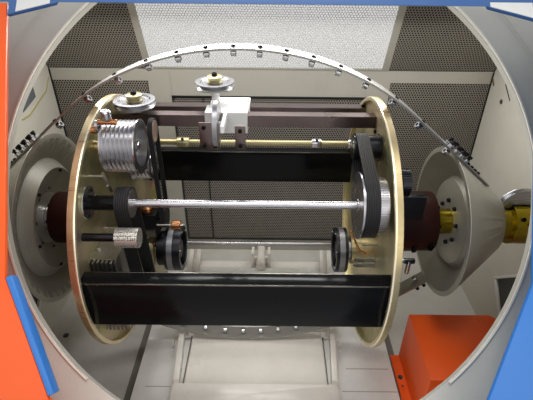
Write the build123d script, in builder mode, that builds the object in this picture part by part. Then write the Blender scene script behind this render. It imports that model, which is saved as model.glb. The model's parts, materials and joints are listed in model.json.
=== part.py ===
from build123d import *
import math
import os

os.makedirs("parts", exist_ok=True)

# Wire bunching machine. Millimetres, +X to the right seen from the operator,
# -Y towards the operator, +Z up. The rotor axis runs along X at height axis_z.
axis_z = 750.0
machine_half = 1550.0
machine_half_depth = 800.0
wall_t = 12.0
sheet_t = 8.0

# Rotor: two dished disks joined by two bows. The back cones of the disks follow the
# straight ends of the bows.
rotor_x = -97.0
bow_peak_r = 610.0
bow_arc_r = 845.0
bow_half_angle = 40.0
bow_t = 6.0
bow_w = 60.0
disk_left_x = 767.0
disk_right_x = 614.0
disk_land = 18.0
dish_depth = 38.0
dish_left_r = 215.0
boss_left_r = 201.0
boss_left_flat = 182.0
boss_left_step = 20.0
disk_left_back_r = 130.0
dish_right_r = 165.0
boss_right_r = 153.0
disk_right_back_r = 110.0
disk_seat = 0.3
bow_over = 71.0
bow_end = disk_left_x + bow_over
half_angle = math.radians(bow_half_angle)
cone_slope = math.tan(half_angle)
bow_tan_x = bow_arc_r * math.sin(half_angle)
bow_tan_r = bow_peak_r - bow_arc_r * (1 - math.cos(half_angle))
disk_left_r = bow_tan_r - cone_slope * (disk_left_x + rotor_x - bow_tan_x) - disk_seat
disk_right_r = bow_tan_r - cone_slope * (disk_right_x - rotor_x - bow_tan_x) - disk_seat
disk_left_back = disk_left_x + (disk_left_r - disk_left_back_r) / cone_slope
disk_right_back = disk_right_x + (disk_right_r - disk_right_back_r) / cone_slope
collar_x0 = 862.0
collar_w = 96.0
collar_x1 = collar_x0 + collar_w

# Chamber, long enough for the rotor and made in whole steps
rotor_wall_gap = 20.0
chamber_step = 50.0
chamber_steps = math.ceil((max(disk_left_back, disk_right_back, collar_x1) + rotor_wall_gap) / chamber_step)
chamber_half = chamber_steps * chamber_step

# Plinth and chamber floor, with the raised middle part that the loader runs on
plinth_h = 64.0
trough_t = 6.0
floor_z = plinth_h + trough_t
deck_h = 30.0
deck_z = floor_z + deck_h
deck_left_set = 465.0
deck_left = chamber_half - deck_left_set

# Side profile of the enclosure
fold_z = 855.0
roof_z = 1560.0
roof_front_y = -95.0
roof_set = 340.0
roof_rear_y = machine_half_depth - roof_set
rear_set = 140.0
rear_y = machine_half_depth - rear_set
rear_fold_z = 1100.0
deck_rear_set = 190.0
deck_rear_y = rear_y - deck_rear_set
pocket_r = 190.0
pocket_depth = 150.0

# Openings in the chamber end walls
wall_hole_r = 80.0
duct_w = 170.0
duct_h = 200.0
duct_drop = 390.0
duct_turn = 45.0

# Roof strip, from the hood to the open top
roof_strip_y = 250.0

# Shield with the round opening, a plane leaning back over the rotor
shield_dist = 350.0
shield_lean = 45.0
opening_r = 775.0
opening_up = 119.0
opening_rim = 6.0
opening_rim_w = 20.0
shield_top = 650.0
shield_gap = 0.3
notch_half = 363.0

# Coloured front panels beside the loading opening
front_low_half = 430.0
front_fold_half = 440.0
front_mid_half = 565.0
front_mid_up = 249.0
front_top_half = 652.0
front_top_up = 913.0
front_t = 12.0
trim_w = 14.0
trim_t = 30.0
beam_low_z = 1502.0
beam_rear_y = -15.0
beam_front_y = beam_low_z - fold_z - machine_half_depth
gusset_top_half = 530.0
gusset_low_half = 647.0
gusset_low_up = 880.0
gusset_lap = 12.0

# Orange guard box on the chamber floor
guard_set = 67.0
guard_w = 366.0
guard_x1 = chamber_half - guard_set
guard_x0 = guard_x1 - guard_w
guard_y0 = -365.0
guard_y1 = -63.0
guard_top_z = 330.0
guard_chamfer = 40.0
guard_foot = 38.0
guard_foot_t = 8.0
guard_hole_r = 6.0
guard_deck_gap = 52.0
deck_right = guard_x0 - guard_deck_gap

# Rotor shafts
stub_r = 45.7
brass_r = 65.7
shaft_left_r = 60.0
shaft_run = 85.0
shaft_end = chamber_half + shaft_run
running = 0.05

# Bearing units on the end walls
bearing_flange_r = 150.0
bearing_flange_t = 26.0
bearing_body_r = 110.0
bearing_body_t = 80.0

# Clamp collar and deflector wheel on the right shaft
collar_r = 80.0
wheel_set = 35.0
wheel_x = collar_x0 + wheel_set
wheel_up = 52.0
wheel_r = 86.0
wheel_t = 22.0
wheel_groove = 8.0
wheel_slot_gap = 6.0
wheel_pin_r = 10.0

# Cradle
plate_r = 440.0
plate_t = 8.0
plate_rim = 12.0
plate_rim_w = 14.0
cradle_left_x = -535.0
cradle_right_x = 351.0
plate_bore_gap = 6.0
hub_right_r = 109.0
hub_right_gap = 31.0
hub_right_end = disk_right_x - hub_right_gap
hub_left_r = 93.0
hub_left_reach = 5.0
hub_left_end = disk_left_x + hub_left_reach
front_box_y0 = -415.0
front_box_y1 = -365.0
front_box_z0 = -100.0
front_box_z1 = 66.0
rear_box_y0 = 360.0
rear_box_y1 = 404.0
rear_box_z0 = -52.0
rear_box_z1 = 94.0
bar_size = 40.0
front_bar_y = 77.0
front_bar_up = 357.0
rear_bar_y = 250.0
rear_bar_up = 322.0

# Capstans, grooved drums on pins from the left plate
capstan_r = 83.0
capstan_neck = 74.0
capstan_y = -99.0
capstan_up = 338.0
capstan_x0 = -497.0
capstan_x1 = -395.0
capstan_grooves = 7
capstan_cup_r = 62.0
capstan_cup = 30.0
capstan_pin_r = 16.0
idler_r = 75.0
idler_neck = 66.0
idler_y = 103.0
idler_up = 189.0
idler_x0 = -497.0
idler_x1 = -420.0
idler_grooves = 5

# Drive shaft, its pulley and the belt to the top pulley
drive_y = -243.0
drive_up = 224.0
drive_r = 12.0
drive_sleeve_r = 22.0
drive_sleeve_end = -449.0
drive_flange_r = 49.0
drive_flange_t = 6.0
drive_small_r = 42.0
drive_small_x0 = -443.0
drive_small_x1 = -401.0
pulley_r = 88.0
pulley_tooth_r = 80.0
pulley_x0 = 255.0
pulley_step_x = 305.0
pulley_x1 = 331.0
top_pulley_y = -60.0
top_pulley_up = 323.0
top_pulley_r = 39.0
top_pulley_x0 = 259.0
top_pulley_x1 = 343.0
flange_over = 4.0
flange_t = 4.0
belt_t = 6.0
belt_x0 = 264.0
belt_x1 = 303.0
belt_gap = 0.3
side_pulley_r = 38.0
side_pulley_w = 24.0
side_pulley_y = -240.0
side_pulley_up = 300.0
side_pulley_gap = 8.0
knurl_y = -320.0
knurl_up = 156.0
knurl_r = 29.0
knurl_x0 = -438.0
knurl_x1 = -372.0

# Gear unit at the left plate with the belt from the drive shaft, both partly behind the beam
lay_pulley_y = -200.0
lay_pulley_up = -160.0
lay_pulley_r = 50.0
lay_belt_inset = 1.0
gear_x1 = -456.0
gear_y0 = -330.0
gear_y1 = -150.0
gear_z0 = -220.0
gear_z1 = 68.0
gear_fins = 6
gear_fin_depth = 16.0
gear_shaft_r = 14.0

# Small gearbox over the left pintle with the narrow belt up to the traverse bars
box_x1 = -402.0
box_y0 = -50.0
box_y1 = 60.0
box_z0 = -46.0
box_z1 = 45.0
box_pulley_up = 10.0
box_pulley_r = 36.0
narrow_top_up = 345.0
narrow_x0 = -389.0
narrow_x1 = -374.0
narrow_t = 6.0
rod_y = 333.0
rod_up = 149.0
rod_r = 12.0
tie_y = 262.0
tie_up = -320.5
tie_r = 10.0

# Traverse carriage and guide wheels
carriage_x = -147.0
carriage_w = 140.0
carriage_wall = 16.0
slide_fit = 0.05
guide_r = 68.0
guide_t = 20.0
guide_groove = 9.0
guide_lip = 2.0
guide_rim_w = 16.0
guide_dish = 5.0
guide_hub_r = 22.0
guide_hub_h = 17.0
guide_pin_r = 8.0
guide_post_r = 14.0
guide_a_x = -450.0
guide_a_up = 412.0
guide_b_x = -196.0
guide_b_y = 190.0
guide_b_up = 440.0
feed_wheel_x = -168.0
feed_wheel_y = -35.0
feed_wheel_up = 386.0
feed_wheel_r = 74.0
feed_wheel_t = 14.0
feed_arm_t = 12.0

# Bobbin pintles
bobbin_y = -10.0
bobbin_up = -131.0
pintle_left_x = -327.0
pintle_right_x = 245.0
pintle_r = 84.0
pintle_left_disc = 58.0
pintle_right_disc = 42.0
pintle_step_r = 66.0
pintle_step = 30.0
pintle_cup_r = 64.0
pintle_cup = 24.0
pintle_nose_r = 34.0
pintle_nose = 16.0
pintle_shaft_r = 24.0
pintle_shaft_end = 325.0
bracket_t = 16.0
arm_bracket_x0 = -449.0
arm_bracket_t = 22.0
arm_bracket_r = 56.0
arm_bracket_drop = 170.0
bracket_flange_r = 62.0
bracket_flange_t = 14.0
quill_r = 36.0
quill_end = 450.0
quill_collar = 6.0
quill_collar_r = 40.0

# Bobbin loader: table, side arms and front sill
loader_x0 = -333.0
loader_x1 = 233.0
loader_y0 = -245.0
loader_y1 = 30.0
table_t = 12.0
rail_h = 6.0
rail_inset = 60.0
rail_set = 50.0
rail_y1 = deck_rear_y - rail_set
rail_gap = 0.3
arm_gap = 18.0
arm_t = 22.0
arm_h = 46.0
arm_flare = 59.0
arm_y1 = 560.0
channel_w = 18.0
channel_t = 20.0
channel_floor = 8.0
cross_d = 34.0
sill_over = 4.0
sill_d = 80.0
sill_lip = 8.0

# Ram and brackets at the rear of the loader
ram_x = -45.0
ram_set = 140.0
ram_y = rear_y - ram_set
ram_r = 24.0
ram_len = 150.0
ram_up = 62.0
fitting_x0 = -400.0
fitting_x1 = 300.0
fitting_w = 60.0
fitting_t = 8.0
fitting_h = 110.0
cheek_t = 14.0
cheek_gap = 86.0


def across(x):
    """Plane square to the rotor axis: local x is +Y, local y is up."""
    return Plane(origin=(x, 0, axis_z), x_dir=(0, 1, 0), z_dir=(1, 0, 0))


def along(y):
    """Upright plane along the rotor axis, facing the operator."""
    return Plane(origin=(0, y, axis_z), x_dir=(1, 0, 0), z_dir=(0, -1, 0))


def loop_points(first, second, clear):
    """Four tangent points and two outer points of a loop clear of two wheels (y, up, radius)."""
    first_y, first_up, first_r = first
    second_y, second_up, second_r = second
    span = math.hypot(second_y - first_y, second_up - first_up)
    course = math.atan2(second_up - first_up, second_y - first_y)
    wrap = math.acos((first_r - second_r) / span)
    angles = [course + wrap, course + math.pi, course - wrap]
    points = [(first_y + (first_r + clear) * math.cos(a), first_up + (first_r + clear) * math.sin(a))
              for a in angles]
    angles = [course - wrap, course, course + wrap]
    points += [(second_y + (second_r + clear) * math.cos(a), second_up + (second_r + clear) * math.sin(a))
               for a in angles]
    return points


def loop_wires(points):
    """Outline of a loop through its tangent points, drawn into the open line."""
    ThreePointArc(points[0], points[1], points[2])
    Line(points[2], points[3])
    ThreePointArc(points[3], points[4], points[5])
    Line(points[5], points[0])


rotor_axis = Axis((0, 0, axis_z), (1, 0, 0))

# Plinth under the whole machine
with BuildPart() as plinth:
    with BuildSketch(Plane.XY):
        Rectangle(2 * machine_half, 2 * machine_half_depth)
    extrude(amount=plinth_h)
plinth.part.label = "plinth"
export_step(plinth.part, "parts/plinth.step")

# Chamber floor pan with the raised deck in the middle
floor_y0 = front_t - machine_half_depth
with BuildPart() as trough:
    with BuildSketch(Plane.XY.offset(plinth_h)):
        with Locations((0, (rear_y + floor_y0) / 2)):
            Rectangle(2 * chamber_half, rear_y - floor_y0)
    extrude(amount=trough_t)
    with BuildSketch(Plane.XY.offset(plinth_h)):
        with Locations(((deck_right - deck_left) / 2, (deck_rear_y + floor_y0) / 2)):
            Rectangle(deck_right + deck_left, deck_rear_y - floor_y0)
    extrude(amount=trough_t + deck_h)
trough.part.label = "trough"
export_step(trough.part, "parts/trough.step")

# Side profile shared by the cabinets and the chamber end walls
profile = [
    (-machine_half_depth, plinth_h - axis_z),
    (-machine_half_depth, fold_z - axis_z),
    (roof_front_y, roof_z - axis_z),
    (roof_rear_y, roof_z - axis_z),
    (rear_y + sheet_t, rear_fold_z - axis_z),
    (rear_y + sheet_t, plinth_h - axis_z),
]

with BuildPart() as cabinet_left:
    with BuildSketch(across(-machine_half)):
        with BuildLine():
            Polyline(*profile, close=True)
        make_face()
    extrude(amount=machine_half - chamber_half - wall_t)
    with BuildSketch(across(-chamber_half - wall_t)):
        Circle(pocket_r)
    extrude(amount=-pocket_depth, mode=Mode.SUBTRACT)
cabinet_left.part.label = "cabinet_left"
export_step(cabinet_left.part, "parts/cabinet_left.step")

with BuildPart() as cabinet_right:
    with BuildSketch(across(chamber_half + wall_t)):
        with BuildLine():
            Polyline(*profile, close=True)
        make_face()
    extrude(amount=machine_half - chamber_half - wall_t)
    with BuildSketch(across(chamber_half + wall_t)):
        Circle(pocket_r)
    extrude(amount=pocket_depth, mode=Mode.SUBTRACT)
cabinet_right.part.label = "cabinet_right"
export_step(cabinet_right.part, "parts/cabinet_right.step")

# Chamber end walls with the shaft hole and the dark air duct opening
with BuildPart() as end_wall_left:
    with BuildSketch(across(-chamber_half - wall_t)):
        with BuildLine():
            Polyline(*profile, close=True)
        make_face()
        Circle(wall_hole_r, mode=Mode.SUBTRACT)
        with Locations(Location((0, -duct_drop, 0), (0, 0, duct_turn))):
            Rectangle(duct_w, duct_h, mode=Mode.SUBTRACT)
    extrude(amount=wall_t)
end_wall_left.part.label = "end_wall_left"
export_step(end_wall_left.part, "parts/end_wall_left.step")

with BuildPart() as end_wall_right:
    with BuildSketch(across(chamber_half)):
        with BuildLine():
            Polyline(*profile, close=True)
        make_face()
        Circle(wall_hole_r, mode=Mode.SUBTRACT)
        with Locations(Location((0, -duct_drop, 0), (0, 0, duct_turn))):
            Rectangle(duct_w, duct_h, mode=Mode.SUBTRACT)
    extrude(amount=wall_t)
end_wall_right.part.label = "end_wall_right"
export_step(end_wall_right.part, "parts/end_wall_right.step")

# Rear wall and the hood above it, folded sheet. Their perforations are left to the look.
rear_plane = Plane(origin=(0, rear_y + sheet_t, 0), x_dir=(1, 0, 0), z_dir=(0, -1, 0))
with BuildPart() as rear_wall:
    with BuildSketch(rear_plane):
        with Locations((0, (floor_z + rear_fold_z) / 2)):
            Rectangle(2 * chamber_half, rear_fold_z - floor_z)
    extrude(amount=sheet_t)
rear_wall.part.label = "rear_wall"
export_step(rear_wall.part, "parts/rear_wall.step")

hood_run = rear_y - roof_rear_y
hood_rise = roof_z - rear_fold_z
hood_len = math.hypot(hood_run, hood_rise)
hood_out_y = sheet_t * hood_rise / hood_len
hood_out_z = sheet_t * hood_run / hood_len
with BuildPart() as hood:
    with BuildSketch(Plane(origin=(-chamber_half, 0, 0), x_dir=(0, 1, 0), z_dir=(1, 0, 0))):
        with BuildLine():
            Polyline((rear_y, rear_fold_z), (rear_y + hood_out_y, rear_fold_z + hood_out_z),
                     (roof_rear_y + hood_out_y, roof_z), (roof_strip_y, roof_z),
                     (roof_strip_y, roof_z - sheet_t), (roof_rear_y, roof_z - sheet_t), close=True)
        make_face()
    extrude(amount=2 * chamber_half)
hood.part.label = "hood"
export_step(hood.part, "parts/hood.step")

# Inner shield with the large round opening and its turned-in rim, one half each side of the notch
lean = math.radians(shield_lean)
shield_run = front_t - machine_half_depth + shield_dist * math.cos(lean)
shield_bottom = shield_run / math.sin(lean) + shield_gap
shield_origin = (0, -shield_dist * math.cos(lean), axis_z + shield_dist * math.sin(lean))
shield_plane = Plane(origin=shield_origin, x_dir=(1, 0, 0), z_dir=(0, -math.cos(lean), math.sin(lean)))
shield_left_edge = [(-chamber_half, shield_bottom), (-notch_half, shield_bottom),
                    (-notch_half, shield_top), (-chamber_half, shield_top)]
shield_right_edge = [(notch_half, shield_bottom), (chamber_half, shield_bottom),
                     (chamber_half, shield_top), (notch_half, shield_top)]
with BuildPart() as shield_left:
    with BuildSketch(shield_plane):
        with BuildLine():
            Polyline(*shield_left_edge, close=True)
        make_face()
        with Locations((0, opening_up)):
            Circle(opening_r, mode=Mode.SUBTRACT)
    extrude(amount=-sheet_t)
    with BuildSketch(shield_plane):
        with Locations((0, opening_up)):
            Circle(opening_r + opening_rim)
            Circle(opening_r, mode=Mode.SUBTRACT)
        with BuildLine():
            Polyline(*shield_left_edge, close=True)
        make_face(mode=Mode.INTERSECT)
    extrude(amount=-opening_rim_w)
shield_left.part.label = "shield_left"
export_step(shield_left.part, "parts/shield_left.step")

with BuildPart() as shield_right:
    with BuildSketch(shield_plane):
        with BuildLine():
            Polyline(*shield_right_edge, close=True)
        make_face()
        with Locations((0, opening_up)):
            Circle(opening_r, mode=Mode.SUBTRACT)
    extrude(amount=-sheet_t)
    with BuildSketch(shield_plane):
        with Locations((0, opening_up)):
            Circle(opening_r + opening_rim)
            Circle(opening_r, mode=Mode.SUBTRACT)
        with BuildLine():
            Polyline(*shield_right_edge, close=True)
        make_face(mode=Mode.INTERSECT)
    extrude(amount=-opening_rim_w)
shield_right.part.label = "shield_right"
export_step(shield_right.part, "parts/shield_right.step")

# Coloured front panels: an upright lower part folded back into a slope
front_plane = Plane(origin=(0, -machine_half_depth, 0), x_dir=(1, 0, 0), z_dir=(0, -1, 0))
slope_plane = Plane(origin=(0, -machine_half_depth, fold_z), x_dir=(1, 0, 0),
                    z_dir=(0, -math.cos(lean), math.sin(lean)))
with BuildPart() as front_left:
    with BuildSketch(front_plane):
        with BuildLine():
            Polyline((-chamber_half, plinth_h), (-front_low_half, plinth_h),
                     (-front_fold_half, fold_z), (-chamber_half, fold_z), close=True)
        make_face()
    extrude(amount=-front_t)
    with BuildSketch(slope_plane):
        with BuildLine():
            Polyline((-chamber_half, 0), (-front_fold_half, 0), (-front_mid_half, front_mid_up),
                     (-front_top_half, front_top_up), (-chamber_half, front_top_up), close=True)
        make_face()
    extrude(amount=-front_t)
front_left.part.label = "front_left"
export_step(front_left.part, "parts/front_left.step")

with BuildPart() as front_right:
    with BuildSketch(front_plane):
        with BuildLine():
            Polyline((chamber_half, plinth_h), (front_low_half, plinth_h),
                     (front_fold_half, fold_z), (chamber_half, fold_z), close=True)
        make_face()
    extrude(amount=-front_t)
    with BuildSketch(slope_plane):
        with BuildLine():
            Polyline((chamber_half, 0), (front_fold_half, 0), (front_mid_half, front_mid_up),
                     (front_top_half, front_top_up), (chamber_half, front_top_up), close=True)
        make_face()
    extrude(amount=-front_t)
front_right.part.label = "front_right"
export_step(front_right.part, "parts/front_right.step")

# Blue edge bar along the chamfered corner of the opening
chamfer_run = front_mid_half - front_fold_half
chamfer_len = math.hypot(chamfer_run, front_mid_up)
trim_dx = trim_w * front_mid_up / chamfer_len
trim_dy = trim_w * chamfer_run / chamfer_len
trim_low_up = front_t
trim_low_x = front_fold_half + chamfer_run * trim_low_up / front_mid_up
with BuildPart() as trim_left:
    with BuildSketch(slope_plane):
        with BuildLine():
            Polyline((-trim_low_x, trim_low_up), (-front_mid_half, front_mid_up),
                     (-front_mid_half + trim_dx, front_mid_up + trim_dy),
                     (-trim_low_x + trim_dx, trim_low_up + trim_dy), close=True)
        make_face()
    extrude(amount=-trim_t)
trim_left.part.label = "trim_left"
export_step(trim_left.part, "parts/trim_left.step")

# Blue beam across the top of the loading opening, with the two corner gussets
beam_up = (beam_low_z - fold_z) / math.sin(lean)
with BuildPart() as top_beam:
    with BuildSketch(Plane(origin=(-chamber_half, 0, 0), x_dir=(0, 1, 0), z_dir=(1, 0, 0))):
        with BuildLine():
            Polyline((beam_front_y, beam_low_z), (roof_front_y, roof_z),
                     (beam_rear_y, roof_z), (beam_rear_y, beam_low_z), close=True)
        make_face()
    extrude(amount=2 * chamber_half)
    with BuildSketch(slope_plane):
        with BuildLine():
            Polyline((-gusset_low_half, gusset_low_up), (-gusset_top_half, beam_up),
                     (-gusset_top_half, beam_up + gusset_lap), (-gusset_low_half, beam_up + gusset_lap),
                     close=True)
        make_face()
        with BuildLine():
            Polyline((gusset_low_half, gusset_low_up), (gusset_top_half, beam_up),
                     (gusset_top_half, beam_up + gusset_lap), (gusset_low_half, beam_up + gusset_lap),
                     close=True)
        make_face()
    extrude(amount=-front_t)
top_beam.part.label = "top_beam"
export_step(top_beam.part, "parts/top_beam.step")

# Orange guard box with a foot flange, on the chamber floor
with BuildPart() as guard:
    with BuildSketch(Plane.XY.offset(floor_z)):
        with BuildLine():
            Polyline((guard_x0, guard_y0), (guard_x1, guard_y0), (guard_x1, guard_y1 - guard_chamfer),
                     (guard_x1 - guard_chamfer, guard_y1), (guard_x0, guard_y1), close=True)
        make_face()
    extrude(amount=guard_top_z - floor_z)
    with BuildSketch(Plane.XY.offset(floor_z)):
        with Locations((guard_x0 - guard_foot / 2, (guard_y0 + guard_y1) / 2)):
            Rectangle(guard_foot, guard_y1 - guard_y0)
            with Locations((0, 0)):
                Circle(guard_hole_r, mode=Mode.SUBTRACT)
    extrude(amount=guard_foot_t)
guard.part.label = "guard"
export_step(guard.part, "parts/guard.step")

# Flanged bearing units, seated on the outside of the end walls
with BuildPart() as bearing_left:
    with BuildSketch(across(-chamber_half - wall_t)):
        Circle(bearing_flange_r)
    extrude(amount=-bearing_flange_t)
    with BuildSketch(across(-chamber_half - wall_t)):
        Circle(bearing_body_r)
    extrude(amount=-bearing_body_t)
    with BuildSketch(across(-chamber_half - wall_t)):
        Circle(shaft_left_r + running)
    extrude(amount=-bearing_body_t, mode=Mode.SUBTRACT)
bearing_left.part.label = "bearing_left"
export_step(bearing_left.part, "parts/bearing_left.step")

with BuildPart() as bearing_right:
    with BuildSketch(across(chamber_half + wall_t)):
        Circle(bearing_flange_r)
    extrude(amount=bearing_flange_t)
    with BuildSketch(across(chamber_half + wall_t)):
        Circle(bearing_body_r)
    extrude(amount=bearing_body_t)
    with BuildSketch(across(chamber_half + wall_t)):
        Circle(brass_r + running)
    extrude(amount=bearing_body_t, mode=Mode.SUBTRACT)
bearing_right.part.label = "bearing_right"
export_step(bearing_right.part, "parts/bearing_right.step")

# Rotor disks, turned castings with a dished face
with BuildPart() as disk_left:
    with BuildSketch(along(0)):
        with BuildLine():
            Polyline((-disk_left_x, disk_left_r), (-disk_left_back, disk_left_back_r),
                     (-disk_left_back, stub_r), (-disk_left_x - dish_depth, stub_r),
                     (-disk_left_x - dish_depth, hub_left_r), (-disk_left_x, boss_left_flat),
                     (-disk_left_x - boss_left_step, boss_left_r),
                     (-disk_left_x - dish_depth, dish_left_r),
                     (-disk_left_x, disk_left_r - disk_land), close=True)
        make_face()
    revolve(axis=rotor_axis)
disk_left.part.label = "disk_left"
export_step(disk_left.part, "parts/disk_left.step")

with BuildPart() as disk_right:
    with BuildSketch(along(0)):
        with BuildLine():
            Polyline((disk_right_x, disk_right_r), (disk_right_back, disk_right_back_r),
                     (disk_right_back, stub_r), (disk_right_x + dish_depth, stub_r),
                     (disk_right_x + dish_depth, boss_right_r),
                     (disk_right_x + dish_depth + dish_depth / 2, dish_right_r),
                     (disk_right_x, disk_right_r - disk_land), close=True)
        make_face()
    revolve(axis=rotor_axis)
disk_right.part.label = "disk_right"
export_step(disk_right.part, "parts/disk_right.step")

# Bow: a flat strip, a long arc with straight ends lying on the cones
bow_end_r = bow_tan_r - cone_slope * (bow_end - bow_tan_x)
bow_out_x = bow_t * math.sin(half_angle)
bow_out_r = bow_t * math.cos(half_angle)
with BuildPart() as bow_top:
    with BuildSketch(along(-bow_w / 2)):
        with BuildLine():
            Line((rotor_x - bow_end, bow_end_r), (rotor_x - bow_tan_x, bow_tan_r))
            ThreePointArc((rotor_x - bow_tan_x, bow_tan_r), (rotor_x, bow_peak_r),
                          (rotor_x + bow_tan_x, bow_tan_r))
            Line((rotor_x + bow_tan_x, bow_tan_r), (rotor_x + bow_end, bow_end_r))
            Line((rotor_x + bow_end, bow_end_r), (rotor_x + bow_end + bow_out_x, bow_end_r + bow_out_r))
            Line((rotor_x + bow_end + bow_out_x, bow_end_r + bow_out_r),
                 (rotor_x + bow_tan_x + bow_out_x, bow_tan_r + bow_out_r))
            ThreePointArc((rotor_x + bow_tan_x + bow_out_x, bow_tan_r + bow_out_r),
                          (rotor_x, bow_peak_r + bow_t),
                          (rotor_x - bow_tan_x - bow_out_x, bow_tan_r + bow_out_r))
            Line((rotor_x - bow_tan_x - bow_out_x, bow_tan_r + bow_out_r),
                 (rotor_x - bow_end - bow_out_x, bow_end_r + bow_out_r))
            Line((rotor_x - bow_end - bow_out_x, bow_end_r + bow_out_r), (rotor_x - bow_end, bow_end_r))
        make_face()
    extrude(amount=-bow_w)
bow_top.part.label = "bow_top"
export_step(bow_top.part, "parts/bow_top.step")

with BuildPart() as bow_bottom:
    with Locations(Location((0, 0, 2 * axis_z), (180, 0, 0))):
        add(bow_top.part)
bow_bottom.part.label = "bow_bottom"
export_step(bow_bottom.part, "parts/bow_bottom.step")

# Rotor shafts. The small ends carry the cradle, the right one has the clamp collar
# and a slot for the deflector wheel.
with BuildPart() as shaft_left:
    with BuildSketch(along(0)):
        with BuildLine():
            Polyline((cradle_left_x - plate_t - plate_bore_gap, stub_r),
                     (-disk_left_back, stub_r), (-disk_left_back, shaft_left_r),
                     (-shaft_end, shaft_left_r), (-shaft_end, 0),
                     (cradle_left_x - plate_t - plate_bore_gap, 0), close=True)
        make_face()
    revolve(axis=rotor_axis)
shaft_left.part.label = "shaft_left"
export_step(shaft_left.part, "parts/shaft_left.step")

with BuildPart() as shaft_right:
    with BuildSketch(along(0)):
        with BuildLine():
            Polyline((cradle_right_x + plate_t + plate_bore_gap, stub_r),
                     (disk_right_back, stub_r), (disk_right_back, brass_r),
                     (shaft_end, brass_r), (shaft_end, 0),
                     (cradle_right_x + plate_t + plate_bore_gap, 0), close=True)
        make_face()
    revolve(axis=rotor_axis)
    with BuildSketch(across(collar_x0)):
        Circle(collar_r)
    extrude(amount=collar_x1 - collar_x0)
    with BuildSketch(along(-wheel_t / 2 - wheel_slot_gap)):
        with Locations((wheel_x, wheel_up)):
            Circle(wheel_r + wheel_slot_gap)
    extrude(amount=-wheel_t - 2 * wheel_slot_gap, mode=Mode.SUBTRACT)
    with BuildSketch(along(-wheel_t)):
        with Locations((wheel_x, wheel_up)):
            Circle(wheel_pin_r)
    extrude(amount=-2 * wheel_t)
shaft_right.part.label = "shaft_right"
export_step(shaft_right.part, "parts/shaft_right.step")

# Deflector wheel that lifts the wire out of the shaft
with BuildPart() as deflector_wheel:
    with BuildSketch(Plane(origin=(wheel_x, 0, axis_z + wheel_up), x_dir=(1, 0, 0), z_dir=(0, 0, 1))):
        with BuildLine():
            Polyline((wheel_pin_r + running, -wheel_t / 2), (wheel_r, -wheel_t / 2),
                     (wheel_r, -wheel_groove), (wheel_r - wheel_groove, 0), (wheel_r, wheel_groove),
                     (wheel_r, wheel_t / 2), (wheel_pin_r + running, wheel_t / 2), close=True)
        make_face()
    revolve(axis=Axis((wheel_x, 0, axis_z + wheel_up), (0, 1, 0)))
deflector_wheel.part.label = "deflector_wheel"
export_step(deflector_wheel.part, "parts/deflector_wheel.step")

# Cradle side plates with their turned rims and the pins for the capstans and the pulleys
with BuildPart() as plate_left:
    with BuildSketch(across(cradle_left_x - plate_t)):
        Circle(plate_r)
        Circle(stub_r + plate_bore_gap, mode=Mode.SUBTRACT)
    extrude(amount=plate_t)
    with BuildSketch(across(cradle_left_x)):
        Circle(plate_r)
        Circle(plate_r - plate_rim, mode=Mode.SUBTRACT)
        with Locations((rear_bar_y, rear_bar_up)):
            Rectangle(bar_size, bar_size, mode=Mode.SUBTRACT)
    extrude(amount=plate_rim_w)
    with BuildSketch(across(cradle_left_x)):
        with Locations((capstan_y, capstan_up)):
            Circle(capstan_pin_r)
    extrude(amount=capstan_x1 - capstan_cup / 2 - cradle_left_x)
    with BuildSketch(across(cradle_left_x)):
        with Locations((idler_y, idler_up)):
            Circle(capstan_pin_r)
    extrude(amount=idler_x1 - capstan_cup / 2 - cradle_left_x)
    with BuildSketch(across(cradle_left_x)):
        with Locations((0, narrow_top_up)):
            Circle(guide_pin_r)
    extrude(amount=narrow_x1 - cradle_left_x)
    with BuildSketch(across(narrow_x0)):
        with Locations((0, narrow_top_up)):
            Circle(box_pulley_r)
    extrude(amount=narrow_x1 - narrow_x0)
plate_left.part.label = "plate_left"
export_step(plate_left.part, "parts/plate_left.step")

with BuildPart() as plate_right:
    with BuildSketch(across(cradle_right_x + plate_t)):
        Circle(plate_r)
        Circle(stub_r + plate_bore_gap, mode=Mode.SUBTRACT)
        with Locations((bobbin_y, bobbin_up)):
            Circle(quill_r + running, mode=Mode.SUBTRACT)
    extrude(amount=-plate_t)
    with BuildSketch(across(cradle_right_x)):
        Circle(plate_r)
        Circle(plate_r - plate_rim, mode=Mode.SUBTRACT)
        with Locations((rear_bar_y, rear_bar_up)):
            Rectangle(bar_size, bar_size, mode=Mode.SUBTRACT)
    extrude(amount=-plate_rim_w)
    with BuildSketch(across(cradle_right_x)):
        with Locations((top_pulley_y, top_pulley_up)):
            Circle(capstan_pin_r)
    extrude(amount=top_pulley_x0 - cradle_right_x)
plate_right.part.label = "plate_right"
export_step(plate_right.part, "parts/plate_right.step")

# Bearing hubs that carry the cradle on the shaft ends
with BuildPart() as hub_left:
    with BuildSketch(across(-hub_left_end)):
        Circle(hub_left_r)
        Circle(stub_r + running, mode=Mode.SUBTRACT)
    extrude(amount=hub_left_end + cradle_left_x - plate_t)
hub_left.part.label = "hub_left"
export_step(hub_left.part, "parts/hub_left.step")

with BuildPart() as hub_right:
    with BuildSketch(across(cradle_right_x + plate_t)):
        Circle(hub_right_r)
        Circle(stub_r + running, mode=Mode.SUBTRACT)
    extrude(amount=hub_right_end - cradle_right_x - plate_t)
    with BuildSketch(across(cradle_right_x + plate_t)):
        with Locations((bobbin_y, bobbin_up)):
            Circle(quill_r + plate_bore_gap)
    extrude(amount=quill_end + plate_bore_gap - cradle_right_x - plate_t, mode=Mode.SUBTRACT)
hub_right.part.label = "hub_right"
export_step(hub_right.part, "parts/hub_right.step")

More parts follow.
